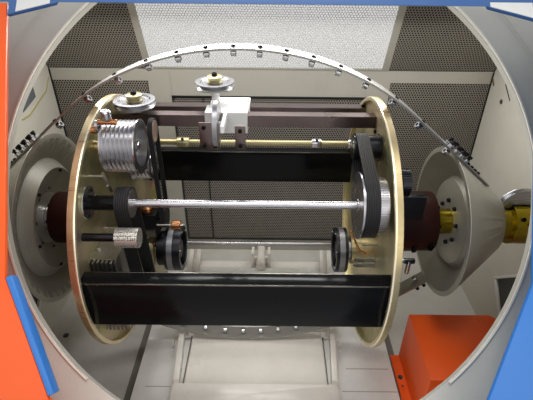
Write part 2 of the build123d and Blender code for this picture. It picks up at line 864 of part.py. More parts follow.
# Long box beams in front of and behind the bobbin
cradle_len = cradle_right_x - cradle_left_x
with BuildPart() as front_box:
    with BuildSketch(across(cradle_left_x)):
        with Locations(((front_box_y0 + front_box_y1) / 2, (front_box_z0 + front_box_z1) / 2)):
            Rectangle(front_box_y1 - front_box_y0, front_box_z1 - front_box_z0)
    extrude(amount=cradle_len)
front_box.part.label = "front_box"
export_step(front_box.part, "parts/front_box.step")

with BuildPart() as rear_box:
    with BuildSketch(across(cradle_left_x)):
        with Locations(((rear_box_y0 + rear_box_y1) / 2, (rear_box_z0 + rear_box_z1) / 2)):
            Rectangle(rear_box_y1 - rear_box_y0, rear_box_z1 - rear_box_z0)
    extrude(amount=cradle_len)
rear_box.part.label = "rear_box"
export_step(rear_box.part, "parts/rear_box.step")

# Square traverse bars, the front one with the post of a guide wheel, and the rod behind
with BuildPart() as bar_front:
    with BuildSketch(across(cradle_left_x)):
        with Locations((front_bar_y, front_bar_up)):
            Rectangle(bar_size, bar_size)
    extrude(amount=cradle_len)
    with BuildSketch(Plane(origin=(guide_a_x, front_bar_y, axis_z + front_bar_up))):
        Circle(guide_post_r)
    extrude(amount=guide_a_up - front_bar_up - guide_t / 2)
    with BuildSketch(Plane(origin=(guide_a_x, front_bar_y, axis_z + front_bar_up))):
        Circle(guide_pin_r)
    extrude(amount=guide_a_up - front_bar_up + guide_t / 2 + guide_hub_h)
bar_front.part.label = "bar_front"
export_step(bar_front.part, "parts/bar_front.step")

with BuildPart() as bar_rear:
    with BuildSketch(across(cradle_left_x)):
        with Locations((rear_bar_y, rear_bar_up)):
            Rectangle(bar_size, bar_size)
    extrude(amount=cradle_len)
bar_rear.part.label = "bar_rear"
export_step(bar_rear.part, "parts/bar_rear.step")

with BuildPart() as guide_rod:
    with BuildSketch(across(cradle_left_x)):
        with Locations((rod_y, rod_up)):
            Circle(rod_r)
    extrude(amount=cradle_len)
guide_rod.part.label = "guide_rod"
export_step(guide_rod.part, "parts/guide_rod.step")

with BuildPart() as tie_rod:
    with BuildSketch(across(cradle_left_x)):
        with Locations((tie_y, tie_up)):
            Circle(tie_r)
    extrude(amount=cradle_len)
tie_rod.part.label = "tie_rod"
export_step(tie_rod.part, "parts/tie_rod.step")

# Grooved capstan drums, cupped at the free end
capstan_axis = Axis((0, capstan_y, axis_z + capstan_up), (1, 0, 0))
capstan_pitch = (capstan_x1 - capstan_x0) / (capstan_grooves + 1)
with BuildPart() as capstan:
    with BuildSketch(across(capstan_x0)):
        with Locations((capstan_y, capstan_up)):
            Circle(capstan_r)
            Circle(capstan_pin_r + running, mode=Mode.SUBTRACT)
    extrude(amount=capstan_x1 - capstan_x0)
    with BuildSketch(across(capstan_x1)):
        with Locations((capstan_y, capstan_up)):
            Circle(capstan_cup_r)
    extrude(amount=-capstan_cup, mode=Mode.SUBTRACT)
    with BuildSketch(along(capstan_y)):
        with Locations((capstan_x0 + capstan_pitch * (capstan_grooves + 1) / 2, capstan_up + capstan_r)):
            with GridLocations(capstan_pitch, 0, capstan_grooves, 1):
                RegularPolygon(capstan_r - capstan_neck, 4)
    revolve(axis=capstan_axis, mode=Mode.SUBTRACT)
capstan.part.label = "capstan"
export_step(capstan.part, "parts/capstan.step")

idler_axis = Axis((0, idler_y, axis_z + idler_up), (1, 0, 0))
idler_pitch = (idler_x1 - idler_x0) / (idler_grooves + 1)
with BuildPart() as idler:
    with BuildSketch(across(idler_x0)):
        with Locations((idler_y, idler_up)):
            Circle(idler_r)
            Circle(capstan_pin_r + running, mode=Mode.SUBTRACT)
    extrude(amount=idler_x1 - idler_x0)
    with BuildSketch(across(idler_x1)):
        with Locations((idler_y, idler_up)):
            Circle(capstan_cup_r)
    extrude(amount=-capstan_cup, mode=Mode.SUBTRACT)
    with BuildSketch(along(idler_y)):
        with Locations((idler_x0 + idler_pitch * (idler_grooves + 1) / 2, idler_up + idler_r)):
            with GridLocations(idler_pitch, 0, idler_grooves, 1):
                RegularPolygon(idler_r - idler_neck, 4)
    revolve(axis=idler_axis, mode=Mode.SUBTRACT)
idler.part.label = "idler"
export_step(idler.part, "parts/idler.step")

# Drive shaft with its small and large pulleys, turning in a sleeve and the right plate
with BuildPart() as drive_sleeve:
    with BuildSketch(across(cradle_left_x)):
        with Locations((drive_y, drive_up)):
            Circle(drive_sleeve_r)
            Circle(drive_r + running, mode=Mode.SUBTRACT)
    extrude(amount=drive_sleeve_end - cradle_left_x)
    with BuildSketch(across(cradle_left_x)):
        with Locations((drive_y, drive_up)):
            Circle(drive_flange_r)
            Circle(drive_sleeve_r, mode=Mode.SUBTRACT)
    extrude(amount=drive_flange_t)
drive_sleeve.part.label = "drive_sleeve"
export_step(drive_sleeve.part, "parts/drive_sleeve.step")

with BuildPart() as drive_shaft:
    with BuildSketch(across(cradle_left_x + plate_bore_gap)):
        with Locations((drive_y, drive_up)):
            Circle(drive_r)
    extrude(amount=cradle_len - 2 * plate_bore_gap)
    with BuildSketch(across(drive_small_x0)):
        with Locations((drive_y, drive_up)):
            Circle(drive_small_r)
    extrude(amount=drive_small_x1 - drive_small_x0)
    with BuildSketch(across(pulley_x0)):
        with Locations((drive_y, drive_up)):
            Circle(pulley_r)
    extrude(amount=pulley_step_x - pulley_x0)
    with BuildSketch(across(pulley_step_x)):
        with Locations((drive_y, drive_up)):
            Circle(pulley_tooth_r)
    extrude(amount=pulley_x1 - pulley_step_x)
    with BuildSketch(across(pulley_x0)):
        with Locations((drive_y, drive_up)):
            Circle(pulley_r + belt_t + flange_over)
    extrude(amount=flange_t)
drive_shaft.part.label = "drive_shaft"
export_step(drive_shaft.part, "parts/drive_shaft.step")

# Top pulley, turning on the pin of the right plate
with BuildPart() as top_pulley:
    with BuildSketch(across(top_pulley_x0)):
        with Locations((top_pulley_y, top_pulley_up)):
            Circle(top_pulley_r)
            Circle(capstan_pin_r + running, mode=Mode.SUBTRACT)
    extrude(amount=top_pulley_x1 - top_pulley_x0)
    with BuildSketch(across(top_pulley_x1)):
        with Locations((top_pulley_y, top_pulley_up)):
            Circle(top_pulley_r + flange_over)
            Circle(capstan_pin_r + running, mode=Mode.SUBTRACT)
    extrude(amount=-flange_t)
top_pulley.part.label = "top_pulley"
export_step(top_pulley.part, "parts/top_pulley.step")

# Belt between the drive pulley and the top pulley, one fixed loop
belt_low = (drive_y, drive_up, pulley_r)
belt_top = (top_pulley_y, top_pulley_up, top_pulley_r)
with BuildPart() as drive_belt:
    with BuildSketch(across(belt_x0)):
        with BuildLine():
            loop_wires(loop_points(belt_low, belt_top, belt_gap + belt_t))
        make_face()
        with BuildLine():
            loop_wires(loop_points(belt_low, belt_top, belt_gap))
        make_face(mode=Mode.SUBTRACT)
    extrude(amount=belt_x1 - belt_x0)
drive_belt.part.label = "drive_belt"
export_step(drive_belt.part, "parts/drive_belt.step")

# Belt from the small pulley down to the gear unit, one fixed loop
lay_top = (drive_y, drive_up, drive_small_r)
lay_low = (lay_pulley_y, lay_pulley_up, lay_pulley_r)
with BuildPart() as lay_belt:
    with BuildSketch(across(drive_small_x0 + lay_belt_inset)):
        with BuildLine():
            loop_wires(loop_points(lay_low, lay_top, belt_gap + belt_t))
        make_face()
        with BuildLine():
            loop_wires(loop_points(lay_low, lay_top, belt_gap))
        make_face(mode=Mode.SUBTRACT)
    extrude(amount=drive_small_x1 - drive_small_x0 - 2 * lay_belt_inset)
lay_belt.part.label = "lay_belt"
export_step(lay_belt.part, "parts/lay_belt.step")

# Finned gear unit on the left plate with the wheel of that belt
with BuildPart() as gear_unit:
    with BuildSketch(across(cradle_left_x)):
        with Locations(((gear_y0 + gear_y1) / 2, (gear_z0 + gear_z1) / 2)):
            Rectangle(gear_y1 - gear_y0, gear_z1 - gear_z0)
    extrude(amount=gear_x1 - cradle_left_x)
    with BuildSketch(along(gear_y0)):
        with Locations(((cradle_left_x + gear_x1) / 2, (gear_z0 + gear_z1) / 2)):
            with GridLocations((gear_x1 - cradle_left_x) / gear_fins, 0, gear_fins, 1):
                Rectangle((gear_x1 - cradle_left_x) / gear_fins / 2, gear_z1 - gear_z0)
    extrude(amount=-gear_fin_depth, mode=Mode.SUBTRACT)
    with BuildSketch(across(gear_x1)):
        with Locations((lay_pulley_y, lay_pulley_up)):
            Circle(gear_shaft_r)
    extrude(amount=drive_small_x1 - gear_x1)
    with BuildSketch(across(drive_small_x0)):
        with Locations((lay_pulley_y, lay_pulley_up)):
            Circle(lay_pulley_r)
    extrude(amount=drive_small_x1 - drive_small_x0)
gear_unit.part.label = "gear_unit"
export_step(gear_unit.part, "parts/gear_unit.step")

# Small gearbox over the left pintle, and its narrow belt up to the traverse bars
with BuildPart() as traverse_gear:
    with BuildSketch(across(cradle_left_x)):
        with Locations(((box_y0 + box_y1) / 2, (box_z0 + box_z1) / 2)):
            Rectangle(box_y1 - box_y0, box_z1 - box_z0)
    extrude(amount=box_x1 - cradle_left_x)
    with BuildSketch(across(box_x1)):
        with Locations((0, box_pulley_up)):
            Circle(gear_shaft_r)
    extrude(amount=narrow_x1 - box_x1)
    with BuildSketch(across(narrow_x0)):
        with Locations((0, box_pulley_up)):
            Circle(box_pulley_r)
    extrude(amount=narrow_x1 - narrow_x0)
traverse_gear.part.label = "traverse_gear"
export_step(traverse_gear.part, "parts/traverse_gear.step")

narrow_low = (0, box_pulley_up, box_pulley_r)
narrow_top = (0, narrow_top_up, box_pulley_r)
with BuildPart() as traverse_belt:
    with BuildSketch(across(narrow_x0)):
        with BuildLine():
            loop_wires(loop_points(narrow_low, narrow_top, belt_gap + narrow_t))
        make_face()
        with BuildLine():
            loop_wires(loop_points(narrow_low, narrow_top, belt_gap))
        make_face(mode=Mode.SUBTRACT)
    extrude(amount=narrow_x1 - narrow_x0)
traverse_belt.part.label = "traverse_belt"
export_step(traverse_belt.part, "parts/traverse_belt.step")

# Knurled roller on a pin from the left plate
with BuildPart() as knurl_roller:
    with BuildSketch(across(cradle_left_x)):
        with Locations((knurl_y, knurl_up)):
            Circle(drive_r)
    extrude(amount=knurl_x1 - cradle_left_x)
    with BuildSketch(across(knurl_x0)):
        with Locations((knurl_y, knurl_up)):
            Circle(knurl_r)
    extrude(amount=knurl_x1 - knurl_x0)
knurl_roller.part.label = "knurl_roller"
export_step(knurl_roller.part, "parts/knurl_roller.step")

# Small pulley on the outside of the right plate
with BuildPart() as side_pulley:
    with BuildSketch(across(cradle_right_x + plate_t)):
        with Locations((side_pulley_y, side_pulley_up)):
            Circle(drive_r)
    extrude(amount=side_pulley_gap)
    with BuildSketch(across(cradle_right_x + plate_t + side_pulley_gap)):
        with Locations((side_pulley_y, side_pulley_up)):
            Circle(side_pulley_r)
    extrude(amount=side_pulley_w)
side_pulley.part.label = "side_pulley"
export_step(side_pulley.part, "parts/side_pulley.step")

# Traverse carriage: two square sleeves on the bars joined by a web, with its wheel arms
sleeve = bar_size + 2 * carriage_wall
carriage_left = carriage_x - carriage_w / 2
with BuildPart() as carriage:
    with BuildSketch(across(carriage_left)):
        with Locations((front_bar_y, front_bar_up)):
            Rectangle(sleeve, sleeve)
        with Locations((rear_bar_y, rear_bar_up)):
            Rectangle(sleeve, sleeve)
        with Locations(((front_bar_y + rear_bar_y) / 2, (front_bar_up + rear_bar_up) / 2)):
            Rectangle(rear_bar_y - front_bar_y - bar_size, sleeve - carriage_wall)
    extrude(amount=carriage_w)
    with BuildSketch(Plane(origin=(guide_b_x, guide_b_y, axis_z + rear_bar_up))):
        Circle(guide_post_r)
    extrude(amount=guide_b_up - rear_bar_up - guide_t / 2)
    with BuildSketch(Plane(origin=(guide_b_x, guide_b_y, axis_z + rear_bar_up))):
        Circle(guide_pin_r)
    extrude(amount=guide_b_up - rear_bar_up + guide_t / 2 + guide_hub_h)
    with BuildSketch(across(feed_wheel_x + feed_wheel_t)):
        with Locations((feed_wheel_y / 2, feed_wheel_up)):
            Rectangle(front_bar_y - feed_wheel_y + feed_arm_t, feed_arm_t * 2)
    extrude(amount=feed_arm_t)
    with BuildSketch(across(feed_wheel_x - feed_wheel_t / 2)):
        with Locations((feed_wheel_y, feed_wheel_up)):
            Circle(guide_pin_r)
    extrude(amount=feed_wheel_t * 2)
    with BuildSketch(across(carriage_left)):
        with Locations((front_bar_y, front_bar_up), (rear_bar_y, rear_bar_up)):
            Rectangle(bar_size + 2 * slide_fit, bar_size + 2 * slide_fit)
    extrude(amount=carriage_w, mode=Mode.SUBTRACT)
carriage.part.label = "carriage"
export_step(carriage.part, "parts/carriage.step")

# The three guide wheels, two flat ones with a V groove and a hub, and the feed wheel
guide_rim_in = guide_r - guide_rim_w
guide_web_up = guide_t / 2 - guide_dish
guide_profile = [
    (guide_pin_r + running, -guide_t / 2),
    (guide_r, -guide_t / 2),
    (guide_r, guide_lip - guide_t / 2),
    (guide_r - guide_groove, 0),
    (guide_r, guide_t / 2 - guide_lip),
    (guide_r, guide_t / 2),
    (guide_rim_in, guide_t / 2),
    (guide_rim_in - guide_dish, guide_web_up),
    (guide_hub_r, guide_web_up),
    (guide_hub_r, guide_t / 2 + guide_hub_h),
    (guide_pin_r + running, guide_t / 2 + guide_hub_h),
]
with BuildPart() as guide_wheel_a:
    with BuildSketch(Plane(origin=(guide_a_x, front_bar_y, axis_z + guide_a_up), x_dir=(1, 0, 0),
                           z_dir=(0, -1, 0))):
        with BuildLine():
            Polyline(*guide_profile, close=True)
        make_face()
    revolve(axis=Axis((guide_a_x, front_bar_y, axis_z), (0, 0, 1)))
guide_wheel_a.part.label = "guide_wheel_a"
export_step(guide_wheel_a.part, "parts/guide_wheel_a.step")

with BuildPart() as guide_wheel_b:
    with BuildSketch(Plane(origin=(guide_b_x, guide_b_y, axis_z + guide_b_up), x_dir=(1, 0, 0),
                           z_dir=(0, -1, 0))):
        with BuildLine():
            Polyline(*guide_profile, close=True)
        make_face()
    revolve(axis=Axis((guide_b_x, guide_b_y, axis_z), (0, 0, 1)))
guide_wheel_b.part.label = "guide_wheel_b"
export_step(guide_wheel_b.part, "parts/guide_wheel_b.step")

with BuildPart() as feed_wheel:
    with BuildSketch(across(feed_wheel_x - feed_wheel_t / 2)):
        with Locations((feed_wheel_y, feed_wheel_up)):
            Circle(feed_wheel_r)
            Circle(guide_pin_r + running, mode=Mode.SUBTRACT)
    extrude(amount=feed_wheel_t)
feed_wheel.part.label = "feed_wheel"
export_step(feed_wheel.part, "parts/feed_wheel.step")

# Pintles: cupped discs that grip the bobbin bore, on brackets from the plates
pintle_left_back = pintle_left_x - pintle_left_disc - pintle_step
with BuildPart() as bracket_left:
    with BuildSketch(across(cradle_left_x)):
        with Locations((bobbin_y, bobbin_up)):
            Circle(quill_r)
    extrude(amount=pintle_left_back - plate_bore_gap - cradle_left_x)
    with BuildSketch(across(cradle_left_x)):
        with Locations((bobbin_y, bobbin_up)):
            Circle(bracket_flange_r)
    extrude(amount=bracket_flange_t)
    with BuildSketch(across(arm_bracket_x0)):
        with Locations((bobbin_y, bobbin_up)):
            Circle(arm_bracket_r)
        with Locations((bobbin_y, bobbin_up - arm_bracket_drop / 2)):
            Rectangle(2 * arm_bracket_r, arm_bracket_drop)
    extrude(amount=arm_bracket_t)
    with BuildSketch(across(cradle_left_x)):
        with Locations((bobbin_y, bobbin_up)):
            Circle(pintle_shaft_r + running)
    extrude(amount=cradle_len, mode=Mode.SUBTRACT)
bracket_left.part.label = "bracket_left"
export_step(bracket_left.part, "parts/bracket_left.step")

with BuildPart() as pintle_left:
    with BuildSketch(across(cradle_left_x + plate_bore_gap)):
        with Locations((bobbin_y, bobbin_up)):
            Circle(pintle_shaft_r)
    extrude(amount=pintle_left_back - cradle_left_x - plate_bore_gap)
    with BuildSketch(across(pintle_left_back)):
        with Locations((bobbin_y, bobbin_up)):
            Circle(pintle_step_r)
    extrude(amount=pintle_step)
    with BuildSketch(across(pintle_left_x)):
        with Locations((bobbin_y, bobbin_up)):
            Circle(pintle_r)
    extrude(amount=-pintle_left_disc)
    with BuildSketch(across(pintle_left_x)):
        with Locations((bobbin_y, bobbin_up)):
            Circle(pintle_cup_r)
            Circle(pintle_nose_r, mode=Mode.SUBTRACT)
    extrude(amount=-pintle_cup, mode=Mode.SUBTRACT)
    with BuildSketch(across(pintle_left_x)):
        with Locations((bobbin_y, bobbin_up)):
            Circle(pintle_nose_r)
    extrude(amount=-pintle_nose / 2, mode=Mode.SUBTRACT)
pintle_left.part.label = "pintle_left"
export_step(pintle_left.part, "parts/pintle_left.step")

# The right pintle turns in a quill that slides in its bracket and out through the plate
quill_x0 = pintle_right_x + pintle_right_disc + plate_bore_gap
with BuildPart() as bracket_right:
    with BuildSketch(across(cradle_right_x)):
        with Locations((bobbin_y, bobbin_up)):
            Circle(quill_r + bracket_t)
            Circle(quill_r + running, mode=Mode.SUBTRACT)
    extrude(amount=quill_x0 + quill_collar + plate_bore_gap - cradle_right_x)
bracket_right.part.label = "bracket_right"
export_step(bracket_right.part, "parts/bracket_right.step")

with BuildPart() as quill:
    with BuildSketch(across(quill_x0)):
        with Locations((bobbin_y, bobbin_up)):
            Circle(quill_collar_r)
    extrude(amount=quill_collar)
    with BuildSketch(across(quill_x0)):
        with Locations((bobbin_y, bobbin_up)):
            Circle(quill_r)
    extrude(amount=quill_end - quill_x0)
    with BuildSketch(across(quill_x0)):
        with Locations((bobbin_y, bobbin_up)):
            Circle(pintle_shaft_r + running)
    extrude(amount=quill_end - quill_x0, mode=Mode.SUBTRACT)
quill.part.label = "quill"
export_step(quill.part, "parts/quill.step")

with BuildPart() as pintle_right:
    with BuildSketch(across(pintle_right_x + pintle_right_disc)):
        with Locations((bobbin_y, bobbin_up)):
            Circle(pintle_shaft_r)
    extrude(amount=pintle_shaft_end - pintle_right_x - pintle_right_disc)
    with BuildSketch(across(pintle_right_x)):
        with Locations((bobbin_y, bobbin_up)):
            Circle(pintle_r)
    extrude(amount=pintle_right_disc)
    with BuildSketch(across(pintle_right_x)):
        with Locations((bobbin_y, bobbin_up)):
            Circle(pintle_cup_r)
            Circle(pintle_nose_r, mode=Mode.SUBTRACT)
    extrude(amount=pintle_cup, mode=Mode.SUBTRACT)
    with BuildSketch(across(pintle_right_x)):
        with Locations((bobbin_y, bobbin_up)):
            Circle(pintle_nose_r)
    extrude(amount=pintle_nose / 2, mode=Mode.SUBTRACT)
pintle_right.part.label = "pintle_right"
export_step(pintle_right.part, "parts/pintle_right.step")

# Bobbin loader: a fixed bed on the deck and a table that slides to the front
rail_mid_x = (loader_x0 + loader_x1) / 2
rail_mid_y = (rail_y1 + floor_y0 + front_t) / 2
rail_len = rail_y1 - floor_y0 - front_t
with BuildPart() as loader_bed:
    with BuildSketch(Plane.XY.offset(deck_z)):
        with Locations((rail_mid_x, rail_mid_y)):
            Rectangle(loader_x1 - loader_x0 - 2 * rail_inset, rail_len)
    extrude(amount=rail_h)
loader_bed.part.label = "loader_bed"
export_step(loader_bed.part, "parts/loader_bed.step")

# The arms stand upright beside the table and spread towards the rear, where they are channels
table_z = deck_z + rail_h + rail_gap
arm_in = arm_gap
arm_out = arm_gap + arm_t
arm_slope = arm_flare / (arm_y1 - loader_y0)
channel_y0 = loader_y1 - cross_d
channel_flare = arm_slope * (arm_y1 - channel_y0)
channel_floor_w = channel_t + channel_w
channel_left = loader_x0 - arm_in - arm_slope * (channel_y0 - loader_y0) + channel_floor_w
channel_right = loader_x1 + arm_in + arm_slope * (channel_y0 - loader_y0) - channel_floor_w
with BuildPart() as loader_table:
    with BuildSketch(Plane.XY.offset(table_z)):
        with Locations((rail_mid_x, (loader_y0 + loader_y1) / 2)):
            Rectangle(loader_x1 - loader_x0, loader_y1 - loader_y0)
        with Locations((rail_mid_x, loader_y1 - cross_d / 2)):
            Rectangle(loader_x1 - loader_x0 + 2 * arm_out, cross_d)
    extrude(amount=table_t)
    with BuildSketch(Plane.XY.offset(table_z)):
        with Locations((rail_mid_x, loader_y0 - sill_d / 2)):
            Rectangle(loader_x1 - loader_x0 + 2 * (arm_out + sill_over), sill_d)
    extrude(amount=table_t + sill_lip)
    with BuildSketch(Plane.XY.offset(table_z)):
        with BuildLine():
            Polyline((loader_x0 - arm_in, loader_y0), (loader_x0 - arm_out, loader_y0),
                     (loader_x0 - arm_out - arm_flare, arm_y1),
                     (loader_x0 - arm_in - arm_flare, arm_y1), close=True)
        make_face()
        with BuildLine():
            Polyline((loader_x1 + arm_in, loader_y0), (loader_x1 + arm_out, loader_y0),
                     (loader_x1 + arm_out + arm_flare, arm_y1),
                     (loader_x1 + arm_in + arm_flare, arm_y1), close=True)
        make_face()
        with BuildLine():
            Polyline((channel_left - channel_t, channel_y0), (channel_left, channel_y0),
                     (channel_left - channel_flare, arm_y1),
                     (channel_left - channel_t - channel_flare, arm_y1), close=True)
        make_face()
        with BuildLine():
            Polyline((channel_right + channel_t, channel_y0), (channel_right, channel_y0),
                     (channel_right + channel_flare, arm_y1),
                     (channel_right + channel_t + channel_flare, arm_y1), close=True)
        make_face()
    extrude(amount=arm_h)
    with BuildSketch(Plane.XY.offset(table_z)):
        with BuildLine():
            Polyline((channel_left - channel_t, channel_y0), (channel_left, channel_y0),
                     (channel_left - channel_flare, arm_y1),
                     (channel_left - channel_floor_w - channel_flare, arm_y1),
                     (channel_left - channel_floor_w, channel_y0), close=True)
        make_face()
        with BuildLine():
            Polyline((channel_right + channel_t, channel_y0), (channel_right, channel_y0),
                     (channel_right + channel_flare, arm_y1),
                     (channel_right + channel_floor_w + channel_flare, arm_y1),
                     (channel_right + channel_floor_w, channel_y0), close=True)
        make_face()
    extrude(amount=channel_floor)
loader_table.part.label = "loader_table"
export_step(loader_table.part, "parts/loader_table.step")

# Rear fittings on the floor: a cross bar, and the ram between two cheeks
fitting_mid_x = (fitting_x0 + fitting_x1) / 2
fitting_span = fitting_x1 - fitting_x0
with BuildPart() as rear_fittings:
    with BuildSketch(Plane.XY.offset(floor_z)):
        with Locations((fitting_mid_x, ram_y)):
            Rectangle(fitting_span, fitting_w)
    extrude(amount=fitting_t)
    with BuildSketch(Plane.XY.offset(floor_z)):
        with Locations((ram_x, ram_y)):
            with GridLocations(cheek_gap, 0, 2, 1):
                Rectangle(cheek_t, fitting_w)
    extrude(amount=fitting_h)
    with BuildSketch(Plane(origin=(ram_x - cheek_gap / 2, ram_y, floor_z + ram_up), x_dir=(0, 1, 0),
                           z_dir=(1, 0, 0))):
        Circle(fitting_t)
    extrude(amount=cheek_gap)
    with BuildSketch(Plane(origin=(ram_x, ram_y - ram_len / 2, floor_z + ram_up), x_dir=(1, 0, 0),
                           z_dir=(0, 1, 0))):
        Circle(ram_r)
    extrude(amount=ram_len)
rear_fittings.part.label = "rear_fittings"
export_step(rear_fittings.part, "parts/rear_fittings.step")
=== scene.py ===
import bmesh
import bpy
import json
import math
from mathutils import Matrix, Vector

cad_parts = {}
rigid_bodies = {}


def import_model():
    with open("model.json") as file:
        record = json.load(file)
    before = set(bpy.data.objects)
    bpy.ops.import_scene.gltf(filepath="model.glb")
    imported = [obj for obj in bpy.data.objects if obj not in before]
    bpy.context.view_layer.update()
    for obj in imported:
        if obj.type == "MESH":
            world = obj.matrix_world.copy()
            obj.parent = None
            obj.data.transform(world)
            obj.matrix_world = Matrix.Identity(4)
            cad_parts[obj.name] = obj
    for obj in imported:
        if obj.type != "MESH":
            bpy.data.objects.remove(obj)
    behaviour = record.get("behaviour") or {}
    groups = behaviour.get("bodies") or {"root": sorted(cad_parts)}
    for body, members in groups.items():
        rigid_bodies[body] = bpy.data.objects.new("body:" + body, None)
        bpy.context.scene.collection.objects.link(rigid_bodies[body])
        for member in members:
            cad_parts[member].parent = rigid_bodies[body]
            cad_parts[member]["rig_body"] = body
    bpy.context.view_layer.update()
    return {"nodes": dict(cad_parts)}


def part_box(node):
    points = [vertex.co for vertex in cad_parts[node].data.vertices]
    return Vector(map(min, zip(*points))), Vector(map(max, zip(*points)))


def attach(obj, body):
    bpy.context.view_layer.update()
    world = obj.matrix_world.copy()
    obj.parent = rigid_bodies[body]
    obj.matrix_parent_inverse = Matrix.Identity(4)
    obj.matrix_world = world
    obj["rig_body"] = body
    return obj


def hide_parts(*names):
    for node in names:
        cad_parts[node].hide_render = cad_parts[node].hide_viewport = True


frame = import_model()
nodes = frame["nodes"]

# Chamber floor
# A welded steel pan on a dark plinth, with a raised deck in the middle that carries the
# bobbin loader. Sprayed light grey enamel, dusty from use.


def paint(code):
    """sRGB hex colour as the linear colour that a shader takes."""
    parts = [int(code[i:i + 2], 16) / 255 for i in (0, 2, 4)]
    return [c / 12.92 if c <= 0.04045 else ((c + 0.055) / 1.055) ** 2.4 for c in parts] + [1.0]


def add(tree, kind, links=None, sockets=None, **settings):
    """Adds a shader node with its settings, its socket values and the links into it."""
    made = tree.nodes.new("ShaderNode" + kind)
    for key, value in settings.items():
        setattr(made, key, value)
    for key, value in (sockets or {}).items():
        made.inputs[key].default_value = value
    for key, value in (links or {}).items():
        tree.links.new(made.inputs[key], value)
    return made


def finish(name):
    """A new material with an empty tree, and its object coordinates."""
    made = bpy.data.materials.new(name)
    made.use_nodes = True
    made.node_tree.nodes.clear()
    return made, made.node_tree, add(made.node_tree, "TexCoord").outputs["Object"]


def surface(tree, tone, sockets, gloss=None, relief=None):
    """Ends a material with its shader and output. Gloss is a pattern, its low and high end and
    the roughness at each; relief is a pattern with its strength and depth in metres."""
    links = {"Base Color": tone} if tone else {}
    if gloss:
        pattern, low, high, smooth, dull = gloss
        spread = add(tree, "MapRange", {"Value": pattern},
                     {"From Min": low, "From Max": high, "To Min": smooth, "To Max": dull})
        links["Roughness"] = spread.outputs["Result"]
    if relief:
        pattern, strength, depth = relief
        bump = add(tree, "Bump", {"Height": pattern}, {"Strength": strength, "Distance": depth})
        links["Normal"] = bump.outputs["Normal"]
    shader = add(tree, "BsdfPrincipled", links, sockets)
    add(tree, "OutputMaterial", {"Surface": shader.outputs["BSDF"]})


def enamel(name, code, dust, rough=0.38, dirt=0.35, shine=0.5):
    """Stoving enamel, sprayed on steel: a smooth coat with orange peel about 3 mm across,
    a cloudy film of dust, and small specks where the coat has lost its shine."""
    cloud_mm, speck_mm, peel_mm = 312.5, 16.667, 3.0303
    made, tree, place = finish(name)
    cloud = add(tree, "TexNoise", {"Vector": place},
                {"Scale": 1000 / cloud_mm, "Detail": 5.0, "Roughness": 0.62})
    specks = add(tree, "TexNoise", {"Vector": place},
                 {"Scale": 1000 / speck_mm, "Detail": 3.0, "Roughness": 0.7})
    film = add(tree, "MapRange", {"Value": cloud.outputs["Fac"]},
               {"From Min": 0.42, "From Max": 0.78, "To Min": 0.0, "To Max": dirt})
    spot = add(tree, "MapRange", {"Value": specks.outputs["Fac"]},
               {"From Min": 0.60, "From Max": 0.78, "To Min": 0.0, "To Max": dirt * 0.7})
    both = add(tree, "Math", {0: film.outputs["Result"], 1: spot.outputs["Result"]},
               operation="ADD", use_clamp=True)
    tone = add(tree, "Mix", {0: both.outputs[0]}, {6: paint(code), 7: paint(dust)}, data_type="RGBA")
    peel = add(tree, "TexNoise", {"Vector": place}, {"Scale": 1000 / peel_mm, "Detail": 1.0})
    surface(tree, tone.outputs[2],
            {"IOR": 1.5, "Specular IOR Level": shine, "Coat Weight": 0.3 * shine, "Coat Roughness": 0.12},
            (cloud.outputs["Fac"], 0.3, 0.8, rough - 0.06, rough + 0.16),
            (peel.outputs["Fac"], 0.10, 0.0006))
    return made


def block(bm, low, high):
    """A box between two corners."""
    made = bmesh.ops.create_cube(bm, size=1.0)["verts"]
    bmesh.ops.scale(bm, vec=[b - a for a, b in zip(low, high)], verts=made)
    bmesh.ops.translate(bm, vec=[(a + b) / 2 for a, b in zip(low, high)], verts=made)
    return made


def break_edges(bm, width, segments=2, faces=None):
    """Rounds the sharp edges of the whole mesh, or of the given faces."""
    pool = bm.edges if faces is None else {e for f in faces for e in f.edges}
    sharp = [e for e in pool if e.is_manifold and e.calc_face_angle(0.0) > math.radians(35)]
    bmesh.ops.bevel(bm, geom=sharp, offset=width, offset_type="OFFSET", affect="EDGES",
                    segments=segments, profile=0.5, material=-1, clamp_overlap=True)


def piece(name, bm, material, body, stands_for=()):
    """Makes a finished mesh a named piece that rides on its body."""
    for face in bm.faces:
        face.smooth = True
    for edge in bm.edges:
        edge.smooth = edge.calc_face_angle(0.0) < math.radians(32)
    mesh = bpy.data.meshes.new(name)
    bm.to_mesh(mesh)
    bm.free()
    mesh.materials.append(material)
    made = bpy.data.objects.new(name, mesh)
    bpy.context.scene.collection.objects.link(made)
    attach(made, body)
    if stands_for:
        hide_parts(*stands_for)
    return made


def sheets(name, boxes, material, ease=0.0, body="base", place=None, segments=2, stands_for=()):
    """A piece of flat sheets or blocks, each between two corners, laid where its place says."""
    bm = bmesh.new()
    for low, high in boxes:
        block(bm, low, high)
    if ease:
        break_edges(bm, ease, segments)
    if place:
        bmesh.ops.transform(bm, matrix=place, verts=bm.verts)
    return piece(name, bm, material, body, stands_for)


def eased(node, width, material, segments=2):
    """A copy of a CAD piece with its sharp edges broken, which stands for the node."""
    bm = bmesh.new()
    bm.from_mesh(nodes[node].data)
    bmesh.ops.remove_doubles(bm, verts=bm.verts, dist=0.00002)
    bmesh.ops.dissolve_limit(bm, angle_limit=math.radians(0.5), verts=bm.verts, edges=bm.edges)
    break_edges(bm, width, segments)
    return piece(node + "_piece", bm, material, nodes[node]["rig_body"], (node,))


def dress(material, *names):
    """Gives CAD pieces their finish."""
    for name in names:
        nodes[name].data.materials.clear()
        nodes[name].data.materials.append(material)


